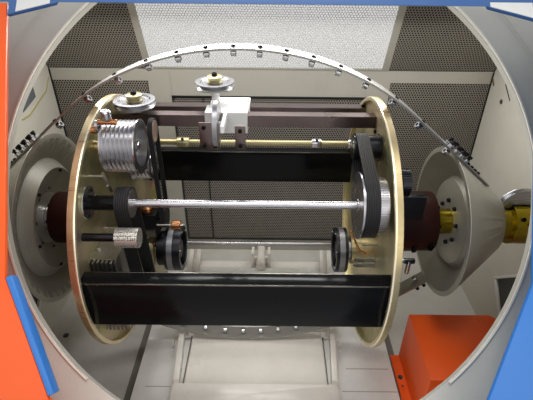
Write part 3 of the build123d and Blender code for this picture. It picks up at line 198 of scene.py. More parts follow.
pan_thick = 0.006
floor_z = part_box("plinth")[1].z + pan_thick
deck_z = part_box("trough")[1].z
pan_grey = enamel("pan_grey_enamel", "BDBAB2", "8E887C", 0.42, 0.45)
deck_white = enamel("deck_white_enamel", "E2E0D9", "ABA79C", 0.22, 0.40)
plinth_dark = enamel("plinth_dark_enamel", "35373A", "5B5853", 0.5, 0.3)
dress(pan_grey, "trough")
eased("plinth", 0.004, plinth_dark)
deck_low, deck_high = (-0.535, -0.787), (0.515, 0.470)
sheets("deck_sheet", [((*deck_low, deck_z - 0.003), (*deck_high, deck_z + 0.0005))],
       deck_white, 0.0015)

# Dark strips on the pan along both sides of the deck: painted shade beside the raised deck.
painted_shade_dark = enamel("painted_shade_enamel", "6B675E", "4A453C", 0.5, 0.6)
shade_band_wide, shade_band_y = 0.036, -0.786
sheets("deck_painted_shade", [((x, shade_band_y, floor_z - 0.002), (x + shade_band_wide, deck_high[1], floor_z + 0.0008))
                        for x in (deck_low[0] - shade_band_wide, deck_high[0])],
       painted_shade_dark)

# Cabinets and chamber end walls
# Closed sheet-steel cabinets at both ends, orange on the left and blue on the right.
# The end walls between them and the chamber are plain folded sheet in light beige.
beige = enamel("beige_stoving_enamel", "C6C2B4", "9C968A", 0.40, 0.30)
orange = enamel("orange_stoving_enamel", "EE5C20", "C0501F", 0.30, 0.22, 0.25)
blue = enamel("blue_stoving_enamel", "3574BE", "4573A8", 0.28, 0.22, 0.3)
black_satin = enamel("black_satin_enamel", "141416", "302E2B", 0.34, 0.25)
dress(beige, "end_wall_left", "end_wall_right")


def corners(made):
    """The points among what an operator returns."""
    return [g for g in made["geom"] if isinstance(g, bmesh.types.BMVert)]


def door_groove(made, direction, margin=0.05, width=0.005, depth=0.006):
    """Marks the seam of a door on a flat side of a piece: a narrow ring in the skin, with a
    shallow channel behind it."""
    bm = bmesh.new()
    bm.from_mesh(made.data)
    flat = [f for f in bm.faces if f.normal.dot(direction) > 0.99]
    door = max(flat, key=lambda f: f.calc_area())
    bmesh.ops.inset_region(bm, faces=[door], thickness=margin, use_even_offset=True)
    ring = bmesh.ops.inset_region(bm, faces=[door], thickness=width, use_even_offset=True)["faces"]
    sunk = bmesh.ops.extrude_face_region(bm, geom=ring)
    bmesh.ops.translate(bm, vec=-direction * depth, verts=corners(sunk))
    bmesh.ops.recalc_face_normals(bm, faces=bm.faces)
    bm.to_mesh(made.data)
    bm.free()


for name, coat, slot, side in (("left", orange, "orange_paint", -1), ("right", blue, "blue_paint", 1)):
    cabinet = eased("cabinet_" + name, 0.004, coat)
    door_groove(cabinet, Vector((0, -1, 0)))
    door_groove(cabinet, Vector((side, 0, 0)))

# The slanted air duct openings in the end walls, dark inside, with a folded frame.
frame_pale = enamel("frame_pale_enamel", "D8D5CB", "ABA79C", 0.34, 0.30)
axis_z, wall_x = 0.75, 1.0
duct_down, duct_y, duct_z, band = 0.39, 0.085, 0.100, 0.012
for side, name in ((-1, "left"), (1, "right")):
    tilt = (Matrix.Translation((side * wall_x, 0.0, axis_z - duct_down))
            @ Matrix.Rotation(math.radians(45), 4, "X"))
    x0, x1 = sorted((side * 0.004, side * 0.0115))
    sheets("duct_panel_" + name,
           [((x0, 0.001 - duct_y, 0.001 - duct_z), (x1, duct_y - 0.001, duct_z - 0.001))],
           black_satin, place=tilt)
    x0, x1 = sorted((-side * 0.007, side * 0.004))
    sheets("duct_frame_" + name,
           [((x0, y0, z0), (x1, y1, z1)) for y0, y1, z0, z1 in (
               (-duct_y - band, -duct_y, -duct_z - band, duct_z + band),
               (duct_y, duct_y + band, -duct_z - band, duct_z + band),
               (-duct_y, duct_y, -duct_z - band, -duct_z), (-duct_y, duct_y, duct_z, duct_z + band))],
           frame_pale, 0.0015, place=tilt)

# Bearing units of painted cast iron on the cabinets' inner side.
iron = enamel("dark_iron_enamel", "34343A", "57524A", 0.5, 0.3)
eased("bearing_left", 0.003, iron)
eased("bearing_right", 0.003, iron)

# Rear wall
# Folded sheet with punched fields, 12 mm between holes, and a soft black backing behind
# them, which is painted shade. Two lift-off door panels in the middle close on a black rubber seal.
# The punched side and door fields take a darker grey-brown copy of the beige: painted shade.
punched_beige_shaded = enamel("punched_sheet_painted_shade", "827C72", "625C54", 0.45, 0.35)


def dark_backing_coat(name, code, pore_mm=4.1667):
    """Soft black with pores about 4 mm across that swallows the light: painted shade behind the punched
    fields.
    """
    made, tree, place = finish(name)
    pores = add(tree, "TexVoronoi", {"Vector": place}, {"Scale": 1000 / pore_mm})
    tone = add(tree, "Mix", {0: pores.outputs["Distance"]}, {6: paint("050505"), 7: paint(code)},
               data_type="RGBA")
    surface(tree, tone.outputs[2], {"Roughness": 0.95, "Specular IOR Level": 0.1})
    return made


# A soft black backing behind the punched fields: painted shade.
lining = dark_backing_coat("black_backing_painted_shade", "24221F")


def punched(name, width, height, place, material, pitch=0.012, hole=0.0092, thick=0.0015):
    """Punched sheet of hexagonal cells in staggered rows, each with its hole."""
    bm = bmesh.new()
    bmesh.ops.create_circle(bm, segments=6, radius=pitch / math.sqrt(3))
    bmesh.ops.create_circle(bm, segments=6, radius=hole / 2)
    bmesh.ops.bridge_loops(bm, edges=bm.edges[:])
    row = pitch * math.sqrt(3) / 2
    for count, step in ((2, Vector((pitch / 2, row, 0))), (int(width / pitch), Vector((pitch, 0, 0))),
                        (int(height / row / 2), Vector((0, 2 * row, 0)))):
        once = bm.faces[:]
        for number in range(1, count):
            twin = bmesh.ops.duplicate(bm, geom=once)
            bmesh.ops.translate(bm, vec=step * number, verts=corners(twin))
    bmesh.ops.remove_doubles(bm, verts=bm.verts, dist=pitch * 0.02)
    ends = [(min(v.co[i] for v in bm.verts), max(v.co[i] for v in bm.verts)) for i in range(2)]
    middle = Vector([sum(pair) / 2 for pair in ends] + [0])
    bmesh.ops.translate(bm, vec=-middle, verts=bm.verts)
    bmesh.ops.recalc_face_normals(bm, faces=bm.faces)
    bmesh.ops.solidify(bm, geom=bm.faces[:], thickness=thick)
    bmesh.ops.transform(bm, matrix=place, verts=bm.verts)
    bmesh.ops.recalc_face_normals(bm, faces=bm.faces)
    return piece(name, bm, material, "base")


rear_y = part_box("rear_wall")[0].y
rear_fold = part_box("rear_wall")[1].z
rear_top_y, roof_z = 0.460, 1.560
upright = Matrix.Rotation(math.radians(90), 4, "X")
door_x0, door_x1, door_z0, door_z1 = -0.453, 0.430, 0.150, 0.972
door_joint_x, side_left, side_right, fold_band_z = -0.3155, 0.560, 0.542, rear_fold - 0.052
lining_x, seal_side, seal_top = wall_x - 0.002, 0.007, 0.008
# The plain rear and hood sheets take a darker copy of the beige: painted shade.
rear_beige_shaded = enamel("rear_sheet_painted_shade", "A8A498", "857F74", 0.45, 0.35)
seal_rubber = enamel("black_seal_rubber", "161618", "2A2927", 0.45, 0.2)

# Plain sheet between the fields, and one sheet behind them as the outer skin of the housing.
sheets("rear_skin", [((-wall_x, rear_y + 0.0030, floor_z), (wall_x, rear_y + 0.008, rear_fold))],
       beige, stands_for=("rear_wall",))
sheets("rear_lining",
       [((-lining_x, rear_y + 0.0016, floor_z), (lining_x, rear_y + 0.0032, rear_fold - 0.002))],
       lining)
sheets("rear_plain_sheet",
       [((x0, rear_y - 0.0004, z0), (x1, rear_y + 0.0026, z1)) for x0, x1, z0, z1 in (
           (-side_left, door_x0 - 0.005, floor_z, rear_fold),
           (door_x1 + 0.005, side_right, floor_z, rear_fold),
           (door_x0 - 0.006, door_x1 + 0.006, door_z1 + 0.005, rear_fold),
           (door_x0 - 0.006, door_x1 + 0.006, floor_z, door_z0),
           (-wall_x, -side_left, fold_band_z, rear_fold), (side_right, wall_x, fold_band_z, rear_fold))],
       rear_beige_shaded)
sheets("rear_door_seal",
       [((x0, rear_y - 0.0030, z0), (x1, rear_y + 0.002, z1)) for x0, x1, z0, z1 in (
           (door_x0 - seal_side, door_x0 + 0.001, door_z0, door_z1 + seal_top),
           (door_x1 - 0.001, door_x1 + seal_side, door_z0, door_z1 + seal_top),
           (door_x0 - seal_side, door_x1 + seal_side, door_z1 - 0.001, door_z1 + seal_top),
           (door_x0 - seal_side, door_x1 + seal_side, door_z0 - 0.006, door_z0 + 0.002),
           (door_joint_x - 0.0025, door_joint_x + 0.0025, door_z0, door_z1))],
       seal_rubber, 0.001)
for name, x0, x1, z0, z1 in (("door_a", door_x0, door_joint_x, door_z0, door_z1),
                             ("door_b", door_joint_x, door_x1, door_z0, door_z1),
                             ("left", -wall_x, 0.004 - side_left, floor_z, fold_band_z + 0.004),
                             ("right", side_right - 0.004, wall_x, floor_z, fold_band_z + 0.004)):
    middle = ((x0 + x1) / 2, rear_y + 0.0016, (z0 + z1) / 2)
    punched("rear_punched_" + name, x1 - x0, z1 - z0, Matrix.Translation(middle) @ upright,
            punched_beige_shaded)


def strip(bm, start, end, width, normal, thick=0.0008):
    """A flat strip or line of sealant laid on a face between two points."""
    start, end, normal = Vector(start), Vector(end), Vector(normal).normalized()
    line = (end - start).normalized()
    turn = Matrix((line, normal.cross(line), normal)).transposed().to_4x4()
    made = block(bm, (0.0, -width / 2, -thick / 4), ((end - start).length, width / 2, thick))
    bmesh.ops.transform(bm, matrix=Matrix.Translation(start) @ turn, verts=made)


def facing(centre, direction=(0, 0, 1), turn=0.0):
    """The place of a piece made upright at the origin: its +Z goes to the direction."""
    aim = Vector(direction).to_track_quat("Z", "Y").to_matrix().to_4x4()
    return Matrix.Translation(centre) @ aim @ Matrix.Rotation(turn, 4, "Z")


def turned(bm, outline, place, steps=24):
    """A lathe form: the outline's points are (radius, height), spun round the upright axis."""
    first = [bm.verts.new((radius, 0.0, height)) for radius, height in outline]
    edges = [bm.edges.new(pair) for pair in zip(first, first[1:])]
    closed = outline[0][0] > 0
    if closed:
        edges.append(bm.edges.new((first[-1], first[0])))
    before = set(bm.verts) - set(first)
    bmesh.ops.spin(bm, geom=first + edges, axis=(0, 0, 1), angle=2 * math.pi, steps=steps, use_merge=True)
    made = [v for v in bm.verts if v not in before]
    bmesh.ops.remove_doubles(bm, verts=made, dist=0.00001)
    made = [v for v in bm.verts if v not in before]
    faces = list({f for v in made for f in v.link_faces})
    bmesh.ops.recalc_face_normals(bm, faces=faces)
    bmesh.ops.transform(bm, matrix=place, verts=made)
    return made


def hex_bolt(bm, centre, direction, radius=0.009, head=0.006, turn=0.3):
    """A hexagon head on its washer."""
    turned(bm, [(0.0, 0.0015), (radius * 1.3, 0.0015), (radius * 1.3, 0.0), (0.0, 0.0)],
           facing(centre, direction), 12)
    turned(bm, [(0.0, head), (radius * 0.85, head), (radius, head * 0.8), (radius, 0.001),
                (0.0, 0.001)], facing(centre, direction, turn), 6)


# Corner seams, joints in the floor sheets, the sealant smeared along the end walls, and two thin dark lines
# on the end walls that are painted shadow.
joint_grey = enamel("joint_filler", "A7A197", "8E887E", 0.5, 0.3)
shade_grey = enamel("slate_grey_enamel", "5C6064", "44484C", 0.42, 0.3)
seam_and_shade_black = enamel("seam_mastic_and_painted_shade", "1B1A18", "35312B", 0.6, 0.4, 0.2)
sealant = enamel("yellowed_sealant", "A39A5E", "7D7548", 0.5, 0.4)
sealant_brown = enamel("brown_sealant", "6E5A42", "4E4031", 0.5, 0.4)
wall_face, hood_seam_x, seam_x, seam_half = 0.9995, 0.9990, 0.997, 0.003
bm = bmesh.new()
for side in (-1, 1):
    block(bm, (side * seam_x - seam_half, rear_y - 0.0035, floor_z),
          (side * seam_x + seam_half, rear_y + 0.001, rear_fold))
    strip(bm, (side * hood_seam_x, rear_y + 0.002, rear_fold),
          (side * hood_seam_x, rear_top_y + 0.010, roof_z - 0.012), 2 * seam_half, (-side, 0, 0))
# Two thin dark lines on the end walls: painted shadow lines.
strip(bm, (-wall_face, 0.576, axis_z + 0.129), (-wall_face, 0.399, axis_z + 0.124), 0.005, (1, 0, 0))
strip(bm, (wall_face, 0.537, axis_z + 0.338), (wall_face, 0.464, axis_z + 0.290), 0.005, (-1, 0, 0))
piece("seams_and_shadow_lines", bm, seam_and_shade_black, "base")
bm = bmesh.new()
for x0, x1, y in ((0.323, 0.498, -0.152), (0.293, 0.515, -0.257), (-0.491, -0.388, -0.243)):
    strip(bm, (x0, y, deck_z + 0.0006), (x1, y, deck_z + 0.0006), 0.0035, (0, 0, 1))
piece("deck_joints", bm, joint_grey, "base")
# A slate-grey plate on the left end wall, under the shield's edge.
bm = bmesh.new()
block(bm, (-1.0005, 0.366, axis_z + 0.256), (-0.9985, 0.490, axis_z + 0.345))
corner = [v for v in bm.verts if v.co.y > 0.45 and v.co.z < axis_z + 0.3]
bmesh.ops.translate(bm, vec=(0, 0, 0.022), verts=corner)
break_edges(bm, 0.0006, 1)
piece("wall_slate_plate", bm, shade_grey, "base")
bm = bmesh.new()
for (y0, up0), (y1, up1) in (((0.641, 0.317), (0.588, 0.271)), ((0.588, 0.271), (0.408, 0.230)),
                             ((0.408, 0.230), (0.341, 0.235))):
    strip(bm, (-wall_face, y0, axis_z + up0), (-wall_face, y1, axis_z + up1), 0.006, (1, 0, 0), 0.0015)
piece("sealant_left", bm, sealant, "base")
bm = bmesh.new()
for (y0, up0), (y1, up1) in (((0.656, 0.322), (0.632, 0.300)), ((0.240, 0.226), (0.208, 0.220))):
    strip(bm, (wall_face, y0, axis_z + up0), (wall_face, y1, axis_z + up1), 0.010, (-1, 0, 0), 0.0015)
piece("sealant_right", bm, sealant_brown, "base")
bm = bmesh.new()
hex_bolt(bm, (wall_face - 0.0003, 0.528, axis_z + 0.264), (-1, 0, 0), 0.008, 0.005)
hex_bolt(bm, (-0.921, 0.032, floor_z), (0, 0, 1), 0.010, 0.007)
for x, y in ((-0.93, 0.56), (-0.64, 0.60), (0.62, 0.60), (0.93, 0.56)):
    hex_bolt(bm, (x, y, floor_z), (0, 0, 1), 0.008, 0.005)
piece("wall_screws", bm, iron, "base")

# Hood and roof strip
# The slope behind the rotor, punched as well, and the flat strip of roof above it. The
# middle field has wider holes and is open to the daylight; a black backing of painted shade lines the side
# fields.
hood_run, hood_rise = rear_y - rear_top_y, roof_z - rear_fold
hood_len = math.hypot(hood_run, hood_rise)
lean_back = math.atan2(hood_run, hood_rise)
slope = Matrix.Translation((0, rear_y, rear_fold)) @ Matrix.Rotation(math.radians(90) + lean_back, 4, "X")
vent_x0, vent_x1, vent_low = -0.535, 0.495, 0.012
vent_high, hood_top = hood_len - 0.040, hood_len - 0.010
field_x0, field_x1 = vent_x0 - 0.02, vent_x1 + 0.02
# The middle field's sheet is far paler than the side fields': painted light from the daylight behind it.
vent_white_lit = enamel("punched_sheet_painted_light", "E4E2DC", "CFCCC4", 0.40, 0.20)
bm = bmesh.new()
for x0, x1, v0, v1 in ((-wall_x, field_x0, 0.0, hood_top), (field_x1, wall_x, 0.0, hood_top),
                       (field_x0, field_x1, 0.0, vent_low), (field_x0, field_x1, vent_high, hood_top)):
    block(bm, (x0, v0, -0.008), (x1, v1, -0.0032))
bmesh.ops.transform(bm, matrix=slope, verts=bm.verts)
block(bm, (-wall_x, 0.25, roof_z - 0.008), (wall_x, rear_top_y + 0.003, roof_z))
piece("hood_skin", bm, beige, "base", ("hood",))
sheets("hood_lining", [((x0, 0.002, -0.0034), (x1, hood_top - 0.002, -0.0016))
                       for x0, x1 in ((-lining_x, field_x0), (field_x1, lining_x))],
       lining, place=slope)
sheets("hood_plain_sheet",
       [((x0, v0, -0.0026), (x1, v1, 0.0004)) for x0, x1, v0, v1 in (
           (vent_x0 - 0.03, vent_x0, 0.0, hood_top), (vent_x1, vent_x1 + 0.03, 0.0, hood_top),
           (vent_x0, vent_x1, 0.0, vent_low), (vent_x0, vent_x1, vent_high, hood_top),
           (-wall_x, vent_x0, hood_top - 0.02, hood_top), (vent_x1, wall_x, hood_top - 0.02, hood_top))],
       rear_beige_shaded, place=slope)
for name, x0, x1, v0, v1, hole, coat in (
        ("middle", vent_x0 - 0.01, vent_x1 + 0.01, vent_low - 0.01, vent_high + 0.01, 0.0104, vent_white_lit),
        ("left", -wall_x, vent_x0 - 0.018, 0.002, hood_top - 0.004, 0.0092, punched_beige_shaded),
        ("right", vent_x1 + 0.018, wall_x, 0.002, hood_top - 0.004, 0.0092, punched_beige_shaded)):
    place = slope @ Matrix.Translation(((x0 + x1) / 2, (v0 + v1) / 2, -0.0016))
    punched("hood_punched_" + name, x1 - x0, v1 - v0, place, coat, hole=hole)

# Shield with the round opening
# Enamelled sheet with a folded rim, welded into the housing. The front edge of the rim is
# painted paler than the sheet, a painted highlight for the light it catches from above, and a bend line runs
# round the opening further out.
shield_pale = enamel("shield_enamel", "CBC8BC", "A7A296", 0.36, 0.30)
dress(shield_pale, "shield_left", "shield_right")
# A paler enamel on the rim's front edge: painted highlight.
rim_highlight_pale = enamel("rim_painted_highlight_enamel", "F1EBDD", "D2CBBB", 0.28, 0.2)
shield_lean, rim_start, rim_sweep = math.radians(45), math.radians(42), math.radians(94)
shield_r, shield_up, shield_out = 0.775, 0.119, 0.350
on_shield = (Matrix.Translation((0, -shield_out * math.cos(shield_lean),
                                 axis_z + shield_out * math.sin(shield_lean)))
             @ Matrix.Rotation(shield_lean, 4, "X") @ Matrix.Translation((0, shield_up, 0)))
bm, bm_fold = bmesh.new(), bmesh.new()
for side in (-1, 1):
    for made, inner, outer, low, high in (
            (bm, shield_r - 0.0005, shield_r + 0.0045, 0.0030, 0.0095),
            (bm_fold, shield_r + 0.100, shield_r + 0.1025, 0.0070, 0.0090)):
        first = [made.verts.new(v) for v in ((inner, 0, low), (outer, 0, low), (outer, 0, high),
                                             (inner, 0, high))]
        face = made.faces.new(first)
        bmesh.ops.rotate(made, cent=(0, 0, 0), verts=first,
                         matrix=Matrix.Rotation(rim_start if side > 0 else math.pi - rim_start, 3, "Z"))
        bmesh.ops.spin(made, geom=[face], axis=(0, 0, 1), angle=-side * rim_sweep, steps=60)
for made in (bm, bm_fold):
    bmesh.ops.recalc_face_normals(made, faces=made.faces)
    bmesh.ops.transform(made, matrix=on_shield, verts=made.verts)
piece("opening_rim_edge", bm, rim_highlight_pale, "base")
piece("shield_fold_line", bm_fold, shield_pale, "base")

# Front panels, trim and top beam
# Orange sheet on the left and blue on the right of the loading opening, with a rolled
# blue strip along the chamfered corner and a blue beam across the top.
eased("front_left", 0.003, orange)
eased("front_right", 0.003, blue)
eased("trim_left", 0.004, blue)
# The top beam takes a darker copy of the front blue: painted shade.
beam_blue_shaded = enamel("beam_blue_painted_shade", "2E5A94", "47678F", 0.34, 0.3)
eased("top_beam", 0.006, beam_blue_shaded)

# White sheets on the front faces of the beam's corner gussets: a painted highlight for the glare on the
# glossy blue there.
gusset_glare_white = enamel("gusset_painted_highlight", "DCDBD7", "B5B2AA", 0.3, 0.25)
on_front = Matrix.Translation((0, -0.8, 0.855)) @ Matrix.Rotation(shield_lean, 4, "X")
bm = bmesh.new()
for x_low, x_high, up_low, up_high in ((-0.626, -0.545, 0.8885, 0.9125), (0.640, 0.536, 0.8845, 0.9150)):
    made = block(bm, (min(x_low, x_high), up_low, -0.0005), (max(x_low, x_high), 0.9265, 0.0012))
    step = [v for v in made if v.co.y < 0.92 and abs(v.co.x - x_high) < 0.001]
    bmesh.ops.translate(bm, vec=(0, up_high - up_low, 0), verts=step)
bmesh.ops.transform(bm, matrix=on_front, verts=bm.verts)
piece("gusset_highlight_sheets", bm, gusset_glare_white, "base")

# Guard box
# Orange cover over the motor drive, bent from sheet. Hexagon bolts hold its foot on the
# pan, and a black strip low on its front face is painted shade under its front edge.
eased("guard", 0.003, orange)
low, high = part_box("guard")
bm = bmesh.new()
for y in (low.y + 0.07, high.y - 0.11):
    hex_bolt(bm, (low.x + 0.019, y, floor_z + 0.008), (0, 0, 1), 0.008, 0.006)
piece("guard_bolts", bm, iron, "base")
# A black strip low on the guard's front face: painted shade.
bm = bmesh.new()
strip(bm, (0.700, low.y, floor_z + 0.016), (0.860, low.y, floor_z + 0.016), 0.022, (0, -1, 0))
piece("guard_painted_shade", bm, seam_and_shade_black, "base")

# Rotor disks and shafts
# Turned light-alloy castings: a bright land at the rim, a dished face and a boss. They sit
# on ground steel shaft ends; the right-hand shaft has a golden passivate coat.


def turned_metal(name, code, shade, rough, groove_mm, axis, centre=(0.0, 0.0, 0.0), depth=0.25, bare=1.0):
    """Metal turned on a lathe: fine rings round its axis, drawn as wide as they need to be
    to show, that pull the highlights into bands, with darker stains about 12 cm across."""
    stain_mm = 125
    made, tree, place = finish(name)
    moved = add(tree, "Mapping", {"Vector": place}, {"Location": [-c for c in centre]})
    flat = {"X": (0.0, 1.0, 1.0), "Y": (1.0, 0.0, 1.0), "Z": (1.0, 1.0, 0.0)}[axis]
    radial = add(tree, "VectorMath", {0: moved.outputs["Vector"]}, {1: flat}, operation="MULTIPLY")
    reach = add(tree, "VectorMath", {0: radial.outputs["Vector"]}, operation="LENGTH")
    rings = add(tree, "TexNoise", {"W": reach.outputs["Value"]},
                {"Scale": 1000 / groove_mm, "Detail": 2.0}, noise_dimensions="1D")
    cloud = add(tree, "TexNoise", {"Vector": place},
                {"Scale": 1000 / stain_mm, "Detail": 4.0, "Roughness": 0.6})
    shift = add(tree, "Math", {0: rings.outputs["Fac"], 1: cloud.outputs["Fac"]}, {2: 0.15},
                operation="MULTIPLY_ADD", use_clamp=True)
    tone = add(tree, "Mix", {0: shift.outputs[0]}, {6: paint(code), 7: paint(shade)}, data_type="RGBA")
    surface(tree, tone.outputs[2], {"Metallic": bare},
            (rings.outputs["Fac"], 0.3, 0.7, rough - 0.05, rough + 0.10),
            (rings.outputs["Fac"], depth, 0.0005))
    return made


def metal(name, code, shade, rough, grain_mm=1.5, patch_mm=125, bare=1.0):
    """Rolled or ground metal: a fine grain, and clouds of tone where hands and oil have been."""
    made, tree, place = finish(name)
    cloud = add(tree, "TexNoise", {"Vector": place},
                {"Scale": 1000 / patch_mm, "Detail": 4.0, "Roughness": 0.6})
    tone = add(tree, "Mix", {0: cloud.outputs["Fac"]}, {6: paint(code), 7: paint(shade)}, data_type="RGBA")
    grain = add(tree, "TexNoise", {"Vector": place}, {"Scale": 1000 / grain_mm, "Detail": 1.0})
    surface(tree, tone.outputs[2], {"Metallic": bare},
            (cloud.outputs["Fac"], 0.3, 0.8, rough - 0.05, rough + 0.12),
            (grain.outputs["Fac"], 0.08, 0.0003))
    return made


axle = (0.0, 0.0, axis_z)
cast_alloy = turned_metal("turned_cast_alloy", "BCB9AE", "938F84", 0.38, 2.5, "X", axle, 0.25, 0.6)
ground_steel = metal("ground_steel", "BDBABD", "929092", 0.24, grain_mm=6.0)
gold_coat = turned_metal("gold_passivated_steel", "A8942E", "6E5F1A", 0.20, 3.0, "X", axle, 0.1)
dish_dark = turned_metal("shaded_dish_casting", "98958A", "6F6C62", 0.50, 2.5, "X", axle, 0.25, 0.5)
dish_inner, dish_outer = 0.135, 0.262
for name, inward in (("disk_left", 1), ("disk_right", -1)):
    made = eased(name, 0.0015, cast_alloy, 1)
    made.data.materials.append(dish_dark)
    for face in made.data.polygons:
        reach = math.hypot(face.center.y, face.center.z - axis_z)
        if face.normal.x * inward > 0.3 and dish_inner < reach < dish_outer:
            face.material_index = 1
dress(ground_steel, "shaft_left")
eased("shaft_right", 0.0015, gold_coat, 1)


def round_axle(x, radius, angle):
    """A point round the rotor axis, the angle counted from straight up towards the front."""
    return Vector((x, -radius * math.sin(angle), axis_z + radius * math.cos(angle)))


def cap_screw(bm, centre, direction, radius=0.006, head=0.007, sides=10):
    """A socket cap screw: a round head with a sunk socket."""
    turned(bm, [(0.0, head * 0.4), (radius * 0.5, head * 0.4), (radius * 0.55, head),
                (radius * 0.9, head), (radius, head * 0.85), (radius, 0.0), (0.0, 0.0)],
           facing(centre, direction), sides)


def screw_ring(bm, x, radius, count, inward, head, height, first=22.5):
    """Cap screws on a bolt circle round the rotor axis, their heads facing along X."""
    for number in range(count):
        spot = round_axle(x, radius, math.radians(first + 360 * number / count))
        cap_screw(bm, spot, (inward, 0, 0), head, height)


def radial_screw(bm, x, radius, tilt, height):
    """A cap screw that stands out of a round hub; the tilt in degrees is as in round_axle."""
    angle = math.radians(tilt)
    outward = round_axle(0, 1.0, angle) - Vector((0, 0, axis_z))
    cap_screw(bm, round_axle(x, radius, angle), outward, 0.008, height)


# Screws round the bosses, and the screws in the clamp collar.
black_steel = metal("blackened_steel", "2A2A2C", "171718", 0.38)
bm = bmesh.new()
screw_ring(bm, -0.805, 0.112, 8, 1, 0.008, 0.009)
screw_ring(bm, 0.652, 0.078, 8, -1, 0.008, 0.009)
screw_ring(bm, -0.767, 0.172, 6, 1, 0.006, 0.006, 30)
for x, tilt in ((0.884, 50), (0.930, 50), (0.907, 62), (0.884, 230), (0.930, 230)):
    radial_screw(bm, x, 0.0795, tilt, 0.006)
piece("disk_screws", bm, black_steel, "rotor")

# Bows
# A flat strip of spring steel from disk to disk. Hardened eyelets hang under it on small
# bolts and guide the wire; bolts on short sleeves clamp its straight ends on the cones.
rotor_x, bow_radius, bow_peak, half_arc = -0.097, 0.845, 0.610, math.radians(40)
bow_steel = metal("brushed_spring_steel", "A6A39B", "838078", 0.36, bare=0.7)
dress(bow_steel, "bow_top", "bow_bottom")
eyelet_steel = metal("polished_eyelet_steel", "C9C9C9", "9A9A9A", 0.16)


def on_bow(sweep, below=0.0):
    """Point, line of the strip and outward direction at an angle along the bow, in its own
    upright plane; past the arc the strip runs on straight."""
    bend = max(-half_arc, min(half_arc, sweep))
    out = Vector((math.sin(bend), 0, math.cos(bend)))
    line = Vector((math.cos(bend), 0, -math.sin(bend)))
    middle = Vector((rotor_x, 0, axis_z + bow_peak - bow_radius))
    return middle + out * (bow_radius - below) + line * bow_radius * (sweep - bend), line, out


def pin(bm, centre, direction, radius, length, sides, start=0.0):
    """A plain round pin along a direction."""
    turned(bm, [(0.0, start), (radius, start), (radius, length), (0.0, length)],
           facing(centre, direction), sides)


bm_eye, bm_nut = bmesh.new(), bmesh.new()
eye_middle, eye_step, eye_spread, strip_half = 4.3, 5.25, 0.0065, 0.006
for count in range(-7, 8):
    sweep = math.radians(eye_middle + eye_step * count * (1 + eye_spread * count * count))
    point, line, out = on_bow(sweep, 0.013)
    turned(bm_eye, [(0.0055, -0.008), (0.0105, -0.008), (0.0118, -0.006), (0.0118, 0.006),
                    (0.0105, 0.008), (0.0055, 0.008)], facing(point, line), 14)
    point, line, out = on_bow(sweep)
    pin(bm_eye, point, out, 0.005, 0.001, 8, start=-0.004)
    hex_bolt(bm_nut, point + out * 0.0055, out, 0.0062, 0.005)
for side, shift in ((-1, 0.0), (1, 0.010)):
    for count in range(4):
        point, line, out = on_bow(side * (half_arc + (0.163 + 0.0285 * count + shift) / bow_radius))
        for y in (-0.014, 0.014):
            at = point + out * strip_half + Vector((0, y, 0))
            pin(bm_eye, at, out, 0.0075, 0.010, 10)
            turned(bm_nut, [(0.0, 0.009), (0.0045, 0.009), (0.0045, 0.017), (0.0072, 0.017),
                            (0.0072, 0.026), (0.0, 0.026)], facing(at, out), 8)
    for count in range(4):
        point, line, out = on_bow(side * (half_arc + (0.284 + 0.018 * count) / bow_radius))
        if (point - Vector((rotor_x, 0, axis_z))).length > 1.0 or abs(point.x - rotor_x) > 0.832:
            continue
        hex_bolt(bm_nut, point + out * strip_half, out, 0.006, 0.006)
half_turn = (Matrix.Translation((0, 0, axis_z)) @ Matrix.Rotation(math.pi, 4, "X")
             @ Matrix.Translation((0, 0, -axis_z)))
for made in (bm_eye, bm_nut):
    twin = bmesh.ops.duplicate(made, geom=made.faces[:])
    bmesh.ops.transform(made, matrix=half_turn, verts=corners(twin))
piece("bow_eyelets", bm_eye, eyelet_steel, "rotor")
piece("bow_nuts", bm_nut, black_steel, "rotor")

# Deflector wheel
# A grooved wheel of hardened and polished steel. It turns on a pin across the slot of the
# right-hand shaft and lifts the wire out of the bore.
deflector_axle = (0.897, 0.0, axis_z + 0.052)
polished = turned_metal("polished_wheel_steel", "C0C0C1", "8E8E90", 0.24, 4.0, "Y", deflector_axle, 0.1)
eased("deflector_wheel", 0.001, polished, 1)

# Cradle side plates
# Two round plates of steel, turned at the rim and plated in yellow zinc, whose chromate
# shifts between olive, gold and pink. Brown-primed bearing hubs carry them.


def zinc_plating(name, stops, patch_mm=250, grain_mm=2):
    """Yellow passivated zinc: a satin metal whose colour wanders in cloudy patches of
    10 to 20 cm, with rolling streaks and fine rubbed marks."""
    made, tree, place = finish(name)
    cloud = add(tree, "TexNoise", {"Vector": place},
                {"Scale": 1000 / patch_mm, "Detail": 4.0, "Roughness": 0.55, "Distortion": 0.8})
    ramp = add(tree, "ValToRGB", {"Fac": cloud.outputs["Fac"]})
    while len(ramp.color_ramp.elements) < len(stops):
        ramp.color_ramp.elements.new(0.5)
    for stop, (spot, code) in zip(ramp.color_ramp.elements, stops):
        stop.position = spot
        stop.color = paint(code)
    streak = add(tree, "Mapping", {"Vector": place}, {"Scale": (3.0, 3.0, 90.0)})
    rolled = add(tree, "TexNoise", {"Vector": streak.outputs["Vector"]}, {"Scale": 4.0, "Detail": 3.0})
    grain = add(tree, "TexNoise", {"Vector": place}, {"Scale": 1000 / grain_mm, "Detail": 1.0})
    surface(tree, ramp.outputs["Color"], {"Metallic": 0.85},
            (rolled.outputs["Fac"], 0.3, 0.7, 0.26, 0.44), (grain.outputs["Fac"], 0.06, 0.0003))
    return made


